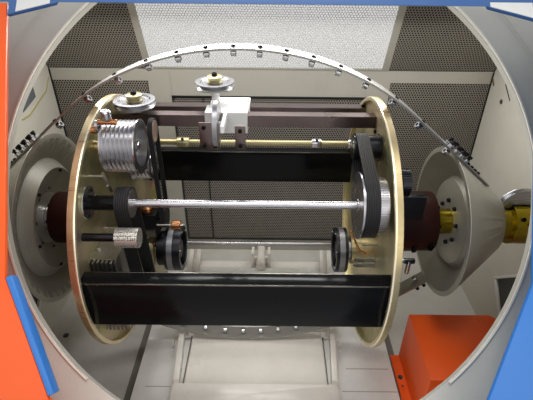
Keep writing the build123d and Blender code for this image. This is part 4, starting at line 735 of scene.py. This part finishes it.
zinc_face = zinc_plating("yellow_zinc_face", ((0.30, "9AA07C"), (0.44, "C2B88A"), (0.55, "D2C29A"),
                                              (0.66, "BE9E98"), (0.80, "A6AD94")))
zinc_rim = zinc_plating("yellow_zinc_rim", ((0.30, "A2946C"), (0.46, "B9A67C"), (0.60, "C8B48E"),
                                            (0.75, "AC9679")), 333.33)
# A much paler zinc on the narrow edges at the plates' rims: painted highlight.
zinc_edge_highlight = zinc_plating("yellow_zinc_painted_highlight", ((0.35, "E6D6AE"), (0.65, "F2E6C8")), 166.67)
brown_primer = enamel("brown_red_primer", "26100B", "351C14", 0.42, 0.35, 0.15)
eased("plate_left", 0.0012, zinc_face, 1)
eased("plate_right", 0.0012, zinc_face, 1)
plate_r, plate_faces = 0.440, ((-0.543, -0.521), (0.337, 0.359))
on_axle = Matrix.Translation((0, 0, axis_z)) @ Matrix.Rotation(math.radians(90), 4, "Y")
bm, bm_edge = bmesh.new(), bmesh.new()
for x0, x1 in plate_faces:
    turned(bm, [(plate_r - 0.0012, x0 + 0.0008), (plate_r + 0.0004, x0 + 0.002),
                (plate_r + 0.0004, x1 - 0.002), (plate_r - 0.0012, x1 - 0.0008),
                (plate_r - 0.004, x1 - 0.004), (plate_r - 0.004, x0 + 0.004)], on_axle, 128)
    inner, inward = (x1, 1) if x0 < 0 else (x0, -1)
    turned(bm_edge, [(plate_r + out, inner + inward * along) for out, along in (
        (-0.0015, -0.0005), (-0.0005, -0.0035), (0.0008, -0.0045), (0.0008, -0.0015),
        (-0.0005, 0.0006), (-0.0115, 0.0006), (-0.0115, -0.0005))], on_axle, 128)
piece("plate_rims", bm, zinc_rim, "cradle")
piece("plate_rim_edges", bm_edge, zinc_edge_highlight, "cradle")
eased("hub_left", 0.004, brown_primer)
eased("hub_right", 0.004, brown_primer)

# Screws in the hubs and the small black clamp screws at the front of the hubs.
bm = bmesh.new()
screw_ring(bm, 0.583, 0.088, 8, 1, 0.008, 0.009)
screw_ring(bm, -0.772, 0.076, 8, -1, 0.007, 0.008)
for x, radius, tilt in ((0.566, 0.1085, 104), (0.566, 0.1085, 113), (0.512, 0.1085, 114),
                        (0.512, 0.1085, 123), (-0.60, 0.0925, 60), (-0.60, 0.0925, 75)):
    radial_screw(bm, x, radius, tilt, 0.012)
piece("hub_screws", bm, black_steel, "cradle")

# Box beams
# Long boxes of folded sheet before and behind the bobbin, gloss black, welded between the
# cradle plates. The lips along their top edges carry pale grey patches on black: painted highlights.
black_gloss = enamel("black_gloss_enamel", "0F0F10", "1F1E1C", 0.14, 0.12, 0.08)
eased("front_box", 0.003, black_gloss, 3)
eased("rear_box", 0.003, black_gloss, 3)
# Pale grey patches on the black lips: painted highlight along the top edges.
lip_highlight_black = metal("black_lip_painted_highlight", "8A867E", "1C1B1A", 0.22, patch_mm=71.43)
low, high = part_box("front_box")
rear_low, rear_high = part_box("rear_box")
sheets("box_lips",
       [((low.x, low.y - 0.0006, high.z - 0.0045), (high.x, low.y + 0.002, high.z + 0.0006)),
        ((low.x, high.y - 0.002, high.z - 0.003), (high.x, high.y + 0.0004, high.z + 0.0005)),
        ((rear_low.x, rear_low.y - 0.0004, rear_high.z - 0.004),
         (rear_high.x, rear_low.y + 0.002, rear_high.z + 0.0006))],
       lip_highlight_black, 0.0005, "cradle", segments=1)

# Traverse bars and rods
# Ground square bars of dark bronze tone that the carriage runs on, bolted to the plates, a
# yellow passivated rod behind them with its clamps, and the steel tie rod and quill below.
bar_bronze = metal("dark_ground_bar", "7A6D66", "54484A", 0.30)
rod_zinc = metal("passivated_rod", "B3A983", "857A58", 0.34, bare=0.7)
eased("bar_front", 0.0015, bar_bronze, 1)
eased("bar_rear", 0.0015, bar_bronze, 1)
dress(rod_zinc, "guide_rod", "bracket_left", "bracket_right")
# The tie rod and quill take a darker steel than the ground shafts.
dress(metal("darker_rod_steel", "9C9A99", "706E6D", 0.30), "tie_rod", "quill")
bm_clamp, bm_dark, bm_brass = bmesh.new(), bmesh.new(), bmesh.new()
rod_y, rod_z = 0.333, axis_z + 0.149
for x, width, made in ((-0.358, 0.050, bm_brass), (0.188, 0.040, bm_clamp), (-0.512, 0.018, bm_clamp),
                       (0.326, 0.018, bm_clamp)):
    turned(made, [(0.0122, -width / 2), (0.020, -width / 2), (0.021, -width / 2 + 0.002),
                  (0.021, width / 2 - 0.002), (0.020, width / 2), (0.0122, width / 2)],
           facing((x, rod_y, rod_z), (1, 0, 0)), 24)
for x in (0.188, -0.358):
    cap_screw(bm_dark, (x, rod_y - 0.012, rod_z + 0.016), (0, -0.6, 0.8), 0.006, 0.008)
for x, side in ((-0.5345, 1), (0.3505, -1)):
    for y, up in ((0.077, 0.357), (0.250, 0.322)):
        for offset in (-0.030, 0.030):
            hex_bolt(bm_dark, (x, y + offset, axis_z + up - 0.028), (side, 0, 0), 0.006, 0.005)
piece("rod_clamp_brass", bm_brass, rod_zinc, "cradle")
piece("rod_clamps", bm_clamp, ground_steel, "cradle")

# Capstans
# Turned aluminium drums with rounded ridges and a cupped end. Each runs on a pin of the
# left plate, and a nut holds it there.
main_drum, idle_drum = (-0.099, axis_z + 0.338), (0.103, axis_z + 0.189)
capstan_alloy = turned_metal("turned_aluminium", "BDBBBD", "868486", 0.26, 1.5, "X", (0, *main_drum), 0.15)
dress(capstan_alloy, "capstan", "idler")
for name, x, drum in (("main", -0.410, main_drum), ("idler", -0.435, idle_drum)):
    bm = bmesh.new()
    hex_bolt(bm, (x, *drum), (1, 0, 0), 0.013, 0.008)
    piece("capstan_nut_" + name, bm, ground_steel, "cradle")

# The wire inlet by the main drum: two copper pins, a steel ring and a small steel eye.
inlet_y = -0.130
bm_copper = bmesh.new()
pin(bm_copper, (-0.535, inlet_y, axis_z + 0.405), (1, 0, 0), 0.0115, 0.034, 20)
turned(bm_copper, [(0.0, 0.0), (0.0085, 0.0), (0.0085, 0.052), (0.0065, 0.055), (0.0, 0.055)],
       facing((-0.500, inlet_y, axis_z + 0.429), (1, 0, 0)), 20)
bm = bmesh.new()
turned(bm, [(0.0, 0.0), (0.016, 0.0), (0.018, 0.002), (0.018, 0.009), (0.016, 0.011), (0.0, 0.011)],
       facing((-0.509, inlet_y, axis_z + 0.417), (1, 0, 0)), 28)
turned(bm, [(0.004, 0.0), (0.014, 0.0), (0.016, 0.004), (0.016, 0.024), (0.012, 0.028), (0.004, 0.028)],
       facing((-0.473, inlet_y, axis_z + 0.4365)), 24)
piece("wire_inlet_ring", bm, polished, "cradle")

# Drive shaft
# A ground shaft along the front with a flanged sleeve at the left plate and a stepped
# pulley at the right one. The smaller step has fine teeth cut across it.
dress(ground_steel, "drive_shaft")
dress(black_gloss, "drive_sleeve")
drive_y, drive_z = -0.243, axis_z + 0.224


def teeth(bm, centre, count, inner, outer, half_thick, half_length):
    """Straight teeth round a pulley whose axis runs along X."""
    for number in range(count):
        made = block(bm, (inner, -half_thick, -half_length), (outer, half_thick, half_length))
        turn = facing(centre, (1, 0, 0), 2 * math.pi * number / count)
        bmesh.ops.transform(bm, matrix=turn, verts=made)


bm = bmesh.new()
teeth(bm, (0.318, drive_y, drive_z), 72, 0.0795, 0.0822, 0.0013, 0.0125)
piece("drive_teeth", bm, capstan_alloy, "drive")
bm = bmesh.new()
turned(bm, [(0.0225, 0.0), (0.049, 0.0), (0.0498, 0.001), (0.0498, 0.006), (0.049, 0.007), (0.0225, 0.007)],
       facing((-0.5352, drive_y, drive_z), (1, 0, 0)), 40)
for number in range(4):
    angle = math.radians(45 + 90 * number)
    cap_screw(bm_dark, (-0.5285, drive_y + 0.038 * math.cos(angle), drive_z + 0.038 * math.sin(angle)),
              (1, 0, 0), 0.005, 0.005)
piece("sleeve_flange", bm, polished, "cradle")

# Belts and pulleys
# Ribbed black rubber belts, vulcanised as closed loops and held in tension, on pulleys that
# are turned from alloy and anodised black. The one outside the right plate is toothed.


def ribbed_rubber(name, pitch_mm):
    """Poly-V belt rubber: matt black with lengthwise ribs, whose crests are rubbed grey."""
    made, tree, place = finish(name)
    across = add(tree, "SeparateXYZ", {"Vector": place})
    wave = add(tree, "Math", {0: across.outputs["X"]}, {1: 2 * math.pi * 1000 / pitch_mm},
               operation="MULTIPLY")
    rib = add(tree, "Math", {0: wave.outputs[0]}, operation="SINE")
    rise = add(tree, "MapRange", {"Value": rib.outputs[0]},
               {"From Min": -0.6, "From Max": 0.8, "To Min": 0.0, "To Max": 1.0})
    tone = add(tree, "Mix", {0: rise.outputs["Result"]}, {6: paint("060607"), 7: paint("1F1E1F")},
               data_type="RGBA")
    surface(tree, tone.outputs[2], {"Roughness": 0.55, "Specular IOR Level": 0.25},
            relief=(rise.outputs["Result"], 0.6, 0.0015))
    return made


black_anodised = metal("black_anodised_alloy", "3A3A3E", "1C1C1F", 0.32)
dress(ribbed_rubber("ribbed_belt_rubber", 6.5), "drive_belt", "lay_belt", "traverse_belt")
dress(black_anodised, "top_pulley", "side_pulley")
bm = bmesh.new()
teeth(bm, (0.3790, -0.240, axis_z + 0.300), 36, 0.0375, 0.0402, 0.0016, 0.012)
piece("side_pulley_teeth", bm, black_anodised, "cradle")
bm = bmesh.new()
for centre in ((0.2590, -0.060, axis_z + 0.323), (0.2550, drive_y, drive_z)):
    turned(bm, [(0.0, 0.0), (0.020, 0.0), (0.020, -0.0012), (0.014, -0.003), (0.0, -0.003)],
           facing(centre, (1, 0, 0)), 24)
piece("pulley_washer_top", bm, ground_steel, "cradle")

# Knurled roller
# A pale alloy drum, drilled all over so that the wire doesn't slip, on a black anodised pin
# at the front of the left plate. The holes stand about 5 mm apart.
low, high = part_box("knurl_roller")
roller_y, roller_z, drill_mm = (low.y + high.y) / 2, (low.z + high.z) / 2, 5.2632
made, tree, place = finish("drilled_alloy_roller")
# The holes are dark spots in the colour: painted shade inside each hole, with a bump for their rims.
holes = add(tree, "TexVoronoi", {"Vector": place}, {"Scale": 1000 / drill_mm, "Randomness": 0.45})
land = add(tree, "MapRange", {"Value": holes.outputs["Distance"]},
           {"From Min": 0.34, "From Max": 0.42, "To Min": 0.0, "To Max": 1.0})
tone = add(tree, "Mix", {0: land.outputs["Result"]}, {6: paint("5A554D"), 7: paint("B7B3AA")},
           data_type="RGBA")
surface(tree, tone.outputs[2], {"Roughness": 0.34, "Metallic": 0.7},
        relief=(land.outputs["Result"], 0.8, 0.003))
drilled = eased("knurl_roller", 0.0008, made, 1)
drilled.data.materials.append(black_anodised)
reach = [math.hypot(v.co.y - roller_y, v.co.z - roller_z) for v in drilled.data.vertices]
for face in drilled.data.polygons:
    if max(reach[i] for i in face.vertices) < max(reach) * 0.8:
        face.material_index = 1

# Gear unit and gearbox at the left plate
# A finned light-alloy housing at the front and a small black gearbox over the pintle, with
# copper-plated fittings, a bracket block and a wire roller on a thin pin.
fin_alloy = metal("finned_cast_alloy", "B9B6B0", "7C7973", 0.38, 2.0, 71.43)
dress(fin_alloy, "gear_unit")
edge_worn = metal("worn_bright_edge", "C9C5BD", "8F8A80", 0.3)
copper = metal("copper_plated_steel", "C08A5E", "8A5A3C", 0.26)
box_black = enamel("gearbox_black_enamel", "101012", "35312C", 0.35, 0.4, 0.25)
dress(box_black, "traverse_gear")
box_x, roller_pin = -0.436, (-0.0480, axis_z + 0.004)
turned(bm_copper, [(0.0, 0.0), (0.022, 0.0), (0.024, 0.003), (0.024, 0.020), (0.017, 0.026), (0.0, 0.026)],
       facing((box_x, -0.018, axis_z + 0.045)), 28)
bm = bmesh.new()
cap_screw(bm, (-0.411, 0.034, axis_z + 0.045), (0, 0, 1), 0.008, 0.009)
cap_screw(bm, (-0.523, -0.270, axis_z + 0.068), (0, 0, 1), 0.007, 0.012)
cap_screw(bm, (-0.470, -0.250, axis_z + 0.068), (0, 0, 1), 0.007, 0.012)
cap_screw(bm, (-0.484, -0.197, axis_z + 0.256), (1, -0.3, 0), 0.006, 0.006)
block(bm, (-0.453, -0.0575, axis_z - 0.044), (-0.411, -0.0495, axis_z - 0.016))
pin(bm, (-0.4025, *roller_pin), (1, 0, 0), 0.0035, 0.096, 10)
piece("gearbox_fittings", bm, edge_worn, "cradle")
turned(bm_copper, [(0.0036, 0.0), (0.014, 0.0), (0.0165, 0.003), (0.0165, 0.030), (0.014, 0.033),
                   (0.0036, 0.033)], facing((-0.350, *roller_pin), (1, 0, 0)), 24)
hex_bolt(bm_copper, (-0.427, -0.046, axis_z - 0.086), (1, 0, 0), 0.009, 0.007)
piece("copper_fittings", bm_copper, copper, "cradle")

# The strip that leads the wire past the sleeve, on a pin from the plate.
bm = bmesh.new()
made = block(bm, (-0.004, -0.0015, -0.034), (0.004, 0.0015, 0.034))
bmesh.ops.transform(bm, matrix=Matrix.Translation((-0.481, -0.200, axis_z + 0.268))
                    @ Matrix.Rotation(math.radians(-14), 4, "Y"), verts=made)
pin(bm, (-0.5352, -0.198, axis_z + 0.288), (1, 0, 0), 0.004, 0.048, 10)
break_edges(bm, 0.0005, 1)
piece("guide_strip", bm, edge_worn, "cradle")

# Fittings at the right plate
# Two tension springs on their rods, a copper lever to the quill bracket, a stop rod, and
# outside the plate a black housing and a feeler arm.
bm = bmesh.new()
spring_turns, spring_steps, spring_pitch, spring_r, spring_wire = 9, 12, 0.0072, 0.0085, 0.0019
fitting_y = -0.200
for up in (-0.021, -0.043):
    before = set(bm.verts)
    ring = bmesh.ops.create_circle(bm, segments=6, radius=spring_wire)["verts"]
    bmesh.ops.translate(bm, vec=(spring_r, 0, 0), verts=ring)
    bmesh.ops.rotate(bm, cent=(spring_r, 0, 0), matrix=Matrix.Rotation(math.radians(90), 3, "X"), verts=ring)
    edges = list({e for v in ring for e in v.link_edges})
    bmesh.ops.spin(bm, geom=edges + ring, axis=(0, 0, 1), dvec=(0, 0, spring_pitch / spring_steps),
                   angle=2 * math.pi * spring_turns, steps=spring_steps * spring_turns)
    made = [v for v in bm.verts if v not in before]
    ends = [e for e in {e for v in made for e in v.link_edges} if e.is_boundary]
    bmesh.ops.holes_fill(bm, edges=ends, sides=8)
    spring_end = (0.2845, fitting_y, axis_z + up)
    bmesh.ops.transform(bm, matrix=facing(spring_end, (1, 0, 0)), verts=made)
    pin(bm, spring_end, (1, 0, 0), 0.005, 0.0665, 10, start=-0.004)
pin(bm, (0.2990, fitting_y, axis_z + 0.043), (1, 0, 0), 0.003, 0.052, 10)
pin(bm, (0.3588, fitting_y, axis_z - 0.022), (1, 0, 0), 0.0065, 0.104, 14)
turned(bm, [(0.0, 0.0), (0.008, 0.0), (0.008, 0.052), (0.006, 0.056), (0.0, 0.056)],
       facing((0.462, fitting_y, axis_z - 0.020), (0, 0, -1)), 16)
bmesh.ops.recalc_face_normals(bm, faces=bm.faces)
piece("springs_and_feeler", bm, eyelet_steel, "cradle")
bm = bmesh.new()
lever = [(0.2870, -0.001), (0.3240, -0.080), (0.3500, -0.096)]
for (x0, up0), (x1, up1) in zip(lever, lever[1:]):
    reach = math.hypot(x1 - x0, up1 - up0)
    pin(bm, (x0, -0.075, axis_z + up0), (x1 - x0, 0, up1 - up0), 0.004, reach, 12)
pin(bm, (0.2870, -0.079, axis_z - 0.001), (0, 1, 0), 0.0065, 0.008, 14)
piece("bobbin_lever", bm, copper, "cradle")
sheets("sensor_housing",
       [((0.3586, -0.150, axis_z + 0.105), (0.4950, -0.122, axis_z + 0.195)),
        ((0.4440, -0.207, axis_z - 0.030), (0.4810, -0.193, axis_z - 0.014))],
       box_black, 0.003, "cradle")
piece("cradle_screws", bm_dark, black_steel, "cradle")

# Guide wheels
# Polished wheels with a grooved rim and a shallow dish, turned from steel. The two flat
# ones run on bearings under brass hub caps, which black screws hold.
wheel_a, wheel_b = (-0.450, 0.077), (-0.196, 0.190)
for name, centre, axis in (("guide_wheel_a", (*wheel_a, 0.0), "Z"), ("guide_wheel_b", (*wheel_b, 0.0), "Z"),
                           ("feed_wheel", (0.0, -0.035, axis_z + 0.386), "X")):
    dress(turned_metal("polished_" + name, "A2A1A0", "74737A", 0.28, 3.0, axis, centre, 0.06, 0.85), name)
pale_brass = metal("pale_brass", "BDB38A", "857B55", 0.36, bare=0.7)
for name, centre in (("a", wheel_a), ("b", wheel_b)):
    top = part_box("guide_wheel_" + name)[1].z
    bm = bmesh.new()
    turned(bm, [(0.0, 0.0), (0.0262, 0.0), (0.0262, 0.002), (0.0235, 0.003), (0.0270, 0.0175),
                (0.0270, 0.019), (0.0245, 0.0205), (0.0, 0.0205)],
           facing((*centre, top - 0.0190)), 32)
    piece("hub_cap_" + name, bm, pale_brass, "guide_" + name)
    bm = bmesh.new()
    cap_screw(bm, (*centre, top + 0.0012), (0, 0, 1), 0.0095, 0.011, 14)
    piece("hub_screw_" + name, bm, black_steel, "guide_" + name)

# Carriage
# Two square sleeves on the bars, welded to a web between them and enamelled white. Plates
# of bronze tone lie on the front, each held by black cap screws.
white = enamel("white_stoving_enamel", "DEDDD9", "A9A69D", 0.26, 0.35)
eased("carriage", 0.0015, white, 1)
low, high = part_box("carriage")
sheets("carriage_saddle",
       [((low.x - 0.0006, low.y - 0.004, axis_z + 0.322), (-0.157, low.y + 0.001, axis_z + 0.4105)),
        ((-0.109, low.y - 0.004, axis_z + 0.322), (high.x + 0.0006, low.y + 0.001, axis_z + 0.4005))],
       bar_bronze, 0.0012, "carriage")
bm = bmesh.new()
for x, up in ((-0.203, 0.395), (-0.171, 0.395), (-0.203, 0.335), (-0.171, 0.335), (-0.093, 0.385),
              (-0.093, 0.335)):
    cap_screw(bm, (x, low.y - 0.004, axis_z + up), (0, -1, 0), 0.0065, 0.006)
piece("carriage_screws", bm, black_steel, "carriage")

# Pintles
# Black oxide-coated discs with a bright ground band round the cup that takes the bobbin.
# Six screws hold each cup on its disc.
oxide_black = metal("black_oxide_steel", "3A3A3D", "1E1E20", 0.38)
band_steel = metal("satin_band_steel", "8C8C8D", "5C5C5E", 0.40, bare=0.8)
dress(oxide_black, "pintle_left", "pintle_right")
pintle_y, pintle_z, screw_r = -0.010, axis_z - 0.131, 0.074
for name, x, outward, nose in (("left", -0.385, 1, 0.058), ("right", 0.287, -1, 0.042)):
    bm = bmesh.new()
    turned(bm, [(0.0835, 0.0), (0.0846, 0.001), (0.0846, 0.020), (0.0835, 0.021)],
           facing((x + outward * 0.010, pintle_y, pintle_z), (outward, 0, 0)), 64)
    piece("pintle_band_" + name, bm, band_steel, "pintle_" + name)
    bm = bmesh.new()
    for number in range(6):
        angle = math.radians(60 * number + 30)
        cap_screw(bm, (x + outward * nose, pintle_y + screw_r * math.cos(angle),
                       pintle_z + screw_r * math.sin(angle)), (outward, 0, 0), 0.005, 0.004)
    piece("pintle_screws_" + name, bm, band_steel, "pintle_" + name)

# Bobbin loader
# Folded sheet in light grey enamel: a table between two side arms on its bed, with a sill
# towards the operator. Bolts hold the arms, and dark strips round the table plate are painted shade.
loader_grey = enamel("loader_pale_enamel", "DDD6CB", "A9A298", 0.30, 0.40)
eased("loader_table", 0.003, loader_grey)
eased("loader_bed", 0.002, deck_white)
table_z, shade_line_y, shade_line_left, shade_line_right = axis_z - 0.632, 0.026, -0.3385, 0.2385
# Thin dark strips round the table plate: painted shade beside the arms.
sheets("loader_painted_shade",
       [((x - 0.0022, -0.240, table_z - 0.002), (x + 0.0022, shade_line_y, table_z + 0.0006))
        for x in (shade_line_left, shade_line_right)]
       + [((shade_line_left, shade_line_y, table_z - 0.002), (shade_line_right, shade_line_y + 0.0035, table_z + 0.0008))],
       painted_shade_dark, body="loader")
bm = bmesh.new()
for x, y, side in ((-0.403, -0.064, -1), (-0.400, -0.106, -1), (0.300, -0.060, 1), (0.297, -0.107, 1)):
    hex_bolt(bm, (x, y, 0.150), (side, 0, 0), 0.009, 0.006)
piece("loader_bolts", bm, loader_grey, "loader")

# Ram
# The cross bar and the ram between its cheeks, welded from bar and tube at the rear of the
# loader and sprayed with it.
dress(loader_grey, "rear_fittings")

# Studio floor, light and camera
# A plain pale floor, soft lamps in front of and above the open chamber, and the camera at
# eye height close in front of the machine.
bm = bmesh.new()
bmesh.ops.create_grid(bm, x_segments=1, y_segments=1, size=12.0)
floor_mesh = bpy.data.meshes.new("studio_floor")
bm.to_mesh(floor_mesh)
bm.free()
studio_floor = bpy.data.objects.new("studio_floor", floor_mesh)
bpy.context.scene.collection.objects.link(studio_floor)
made, tree = finish("studio_floor_matt")[:2]
surface(tree, None, {"Base Color": paint("EDEDEB"), "Roughness": 0.7})
floor_mesh.materials.append(made)

world = bpy.data.worlds.new("studio_world")
bpy.context.scene.world = world
world.use_nodes = True
tree = world.node_tree
tree.nodes.clear()
rays = add(tree, "LightPath")
seen = add(tree, "Math", {0: rays.outputs["Is Camera Ray"], 1: rays.outputs["Is Glossy Ray"]},
           operation="MAXIMUM")
seen = add(tree, "Math", {0: seen.outputs[0], 1: rays.outputs["Is Transmission Ray"]},
           operation="MAXIMUM")
lit = add(tree, "Background", None, {"Color": paint("F4F6FA"), "Strength": 0.80})
shown = add(tree, "Background", None, {"Color": paint("FFFFFF"), "Strength": 1.0})
both = add(tree, "MixShader", {0: seen.outputs[0], 1: lit.outputs[0], 2: shown.outputs[0]})
add(tree, "OutputWorld", {"Surface": both.outputs[0]})


def lamp(name, place, aim, size, power, spread=180):
    """A soft rectangular lamp; the spread in degrees keeps its light to a beam."""
    data = bpy.data.lights.new(name, "AREA")
    data.shape = "RECTANGLE"
    data.size, data.size_y = size
    data.energy = power
    data.spread = math.radians(spread)
    made = bpy.data.objects.new(name, data)
    bpy.context.scene.collection.objects.link(made)
    made.location = place
    made.visible_camera = False
    made.rotation_euler = (Vector(aim) - Vector(place)).to_track_quat("-Z", "Y").to_euler()


lamp("key_lamp", (-0.3, -3.4, 2.9), (0, 0, 0.5), (3.0, 1.6), 22.0)
lamp("fill_lamp", (1.6, -2.8, 1.4), (0.2, 0, 0.5), (1.6, 1.6), 9.0)
lamp("overhead_lamp", (0.0, -0.66, 2.6), (0, -0.34, 0.1), (1.0, 0.35), 2.7, 50)
lamp("chamber_lamp", (0.0, 0.36, 1.44), (0, -0.25, 0.2), (1.7, 0.12), 13.0)

# The camera looks down into the chamber, a little rolled, as the photograph was taken.
eye, lens_tilt, lens_roll = (0, -1.3295, 1.6879), math.radians(32.72), math.radians(0.58)
ahead = Vector((0, math.cos(lens_tilt), -math.sin(lens_tilt)))
above = Vector((0, math.sin(lens_tilt), math.cos(lens_tilt)))
level = Vector((1, 0, 0))
cam_right = level * math.cos(lens_roll) + above * math.sin(lens_roll)
cam_up = above * math.cos(lens_roll) - level * math.sin(lens_roll)
aimed = Matrix((cam_right, cam_up, -ahead)).transposed().to_4x4()
camera_data = bpy.data.cameras.new("camera")
camera = bpy.data.objects.new("camera", camera_data)
bpy.context.scene.collection.objects.link(camera)
camera.matrix_world = Matrix.Translation(eye) @ aimed
camera_data.sensor_width = 36.0
camera_data.lens = 30.01
camera_data.shift_x = -0.00657
camera_data.clip_start = 0.02
bpy.context.scene.camera = camera
bpy.context.scene.view_settings.view_transform = "Standard"
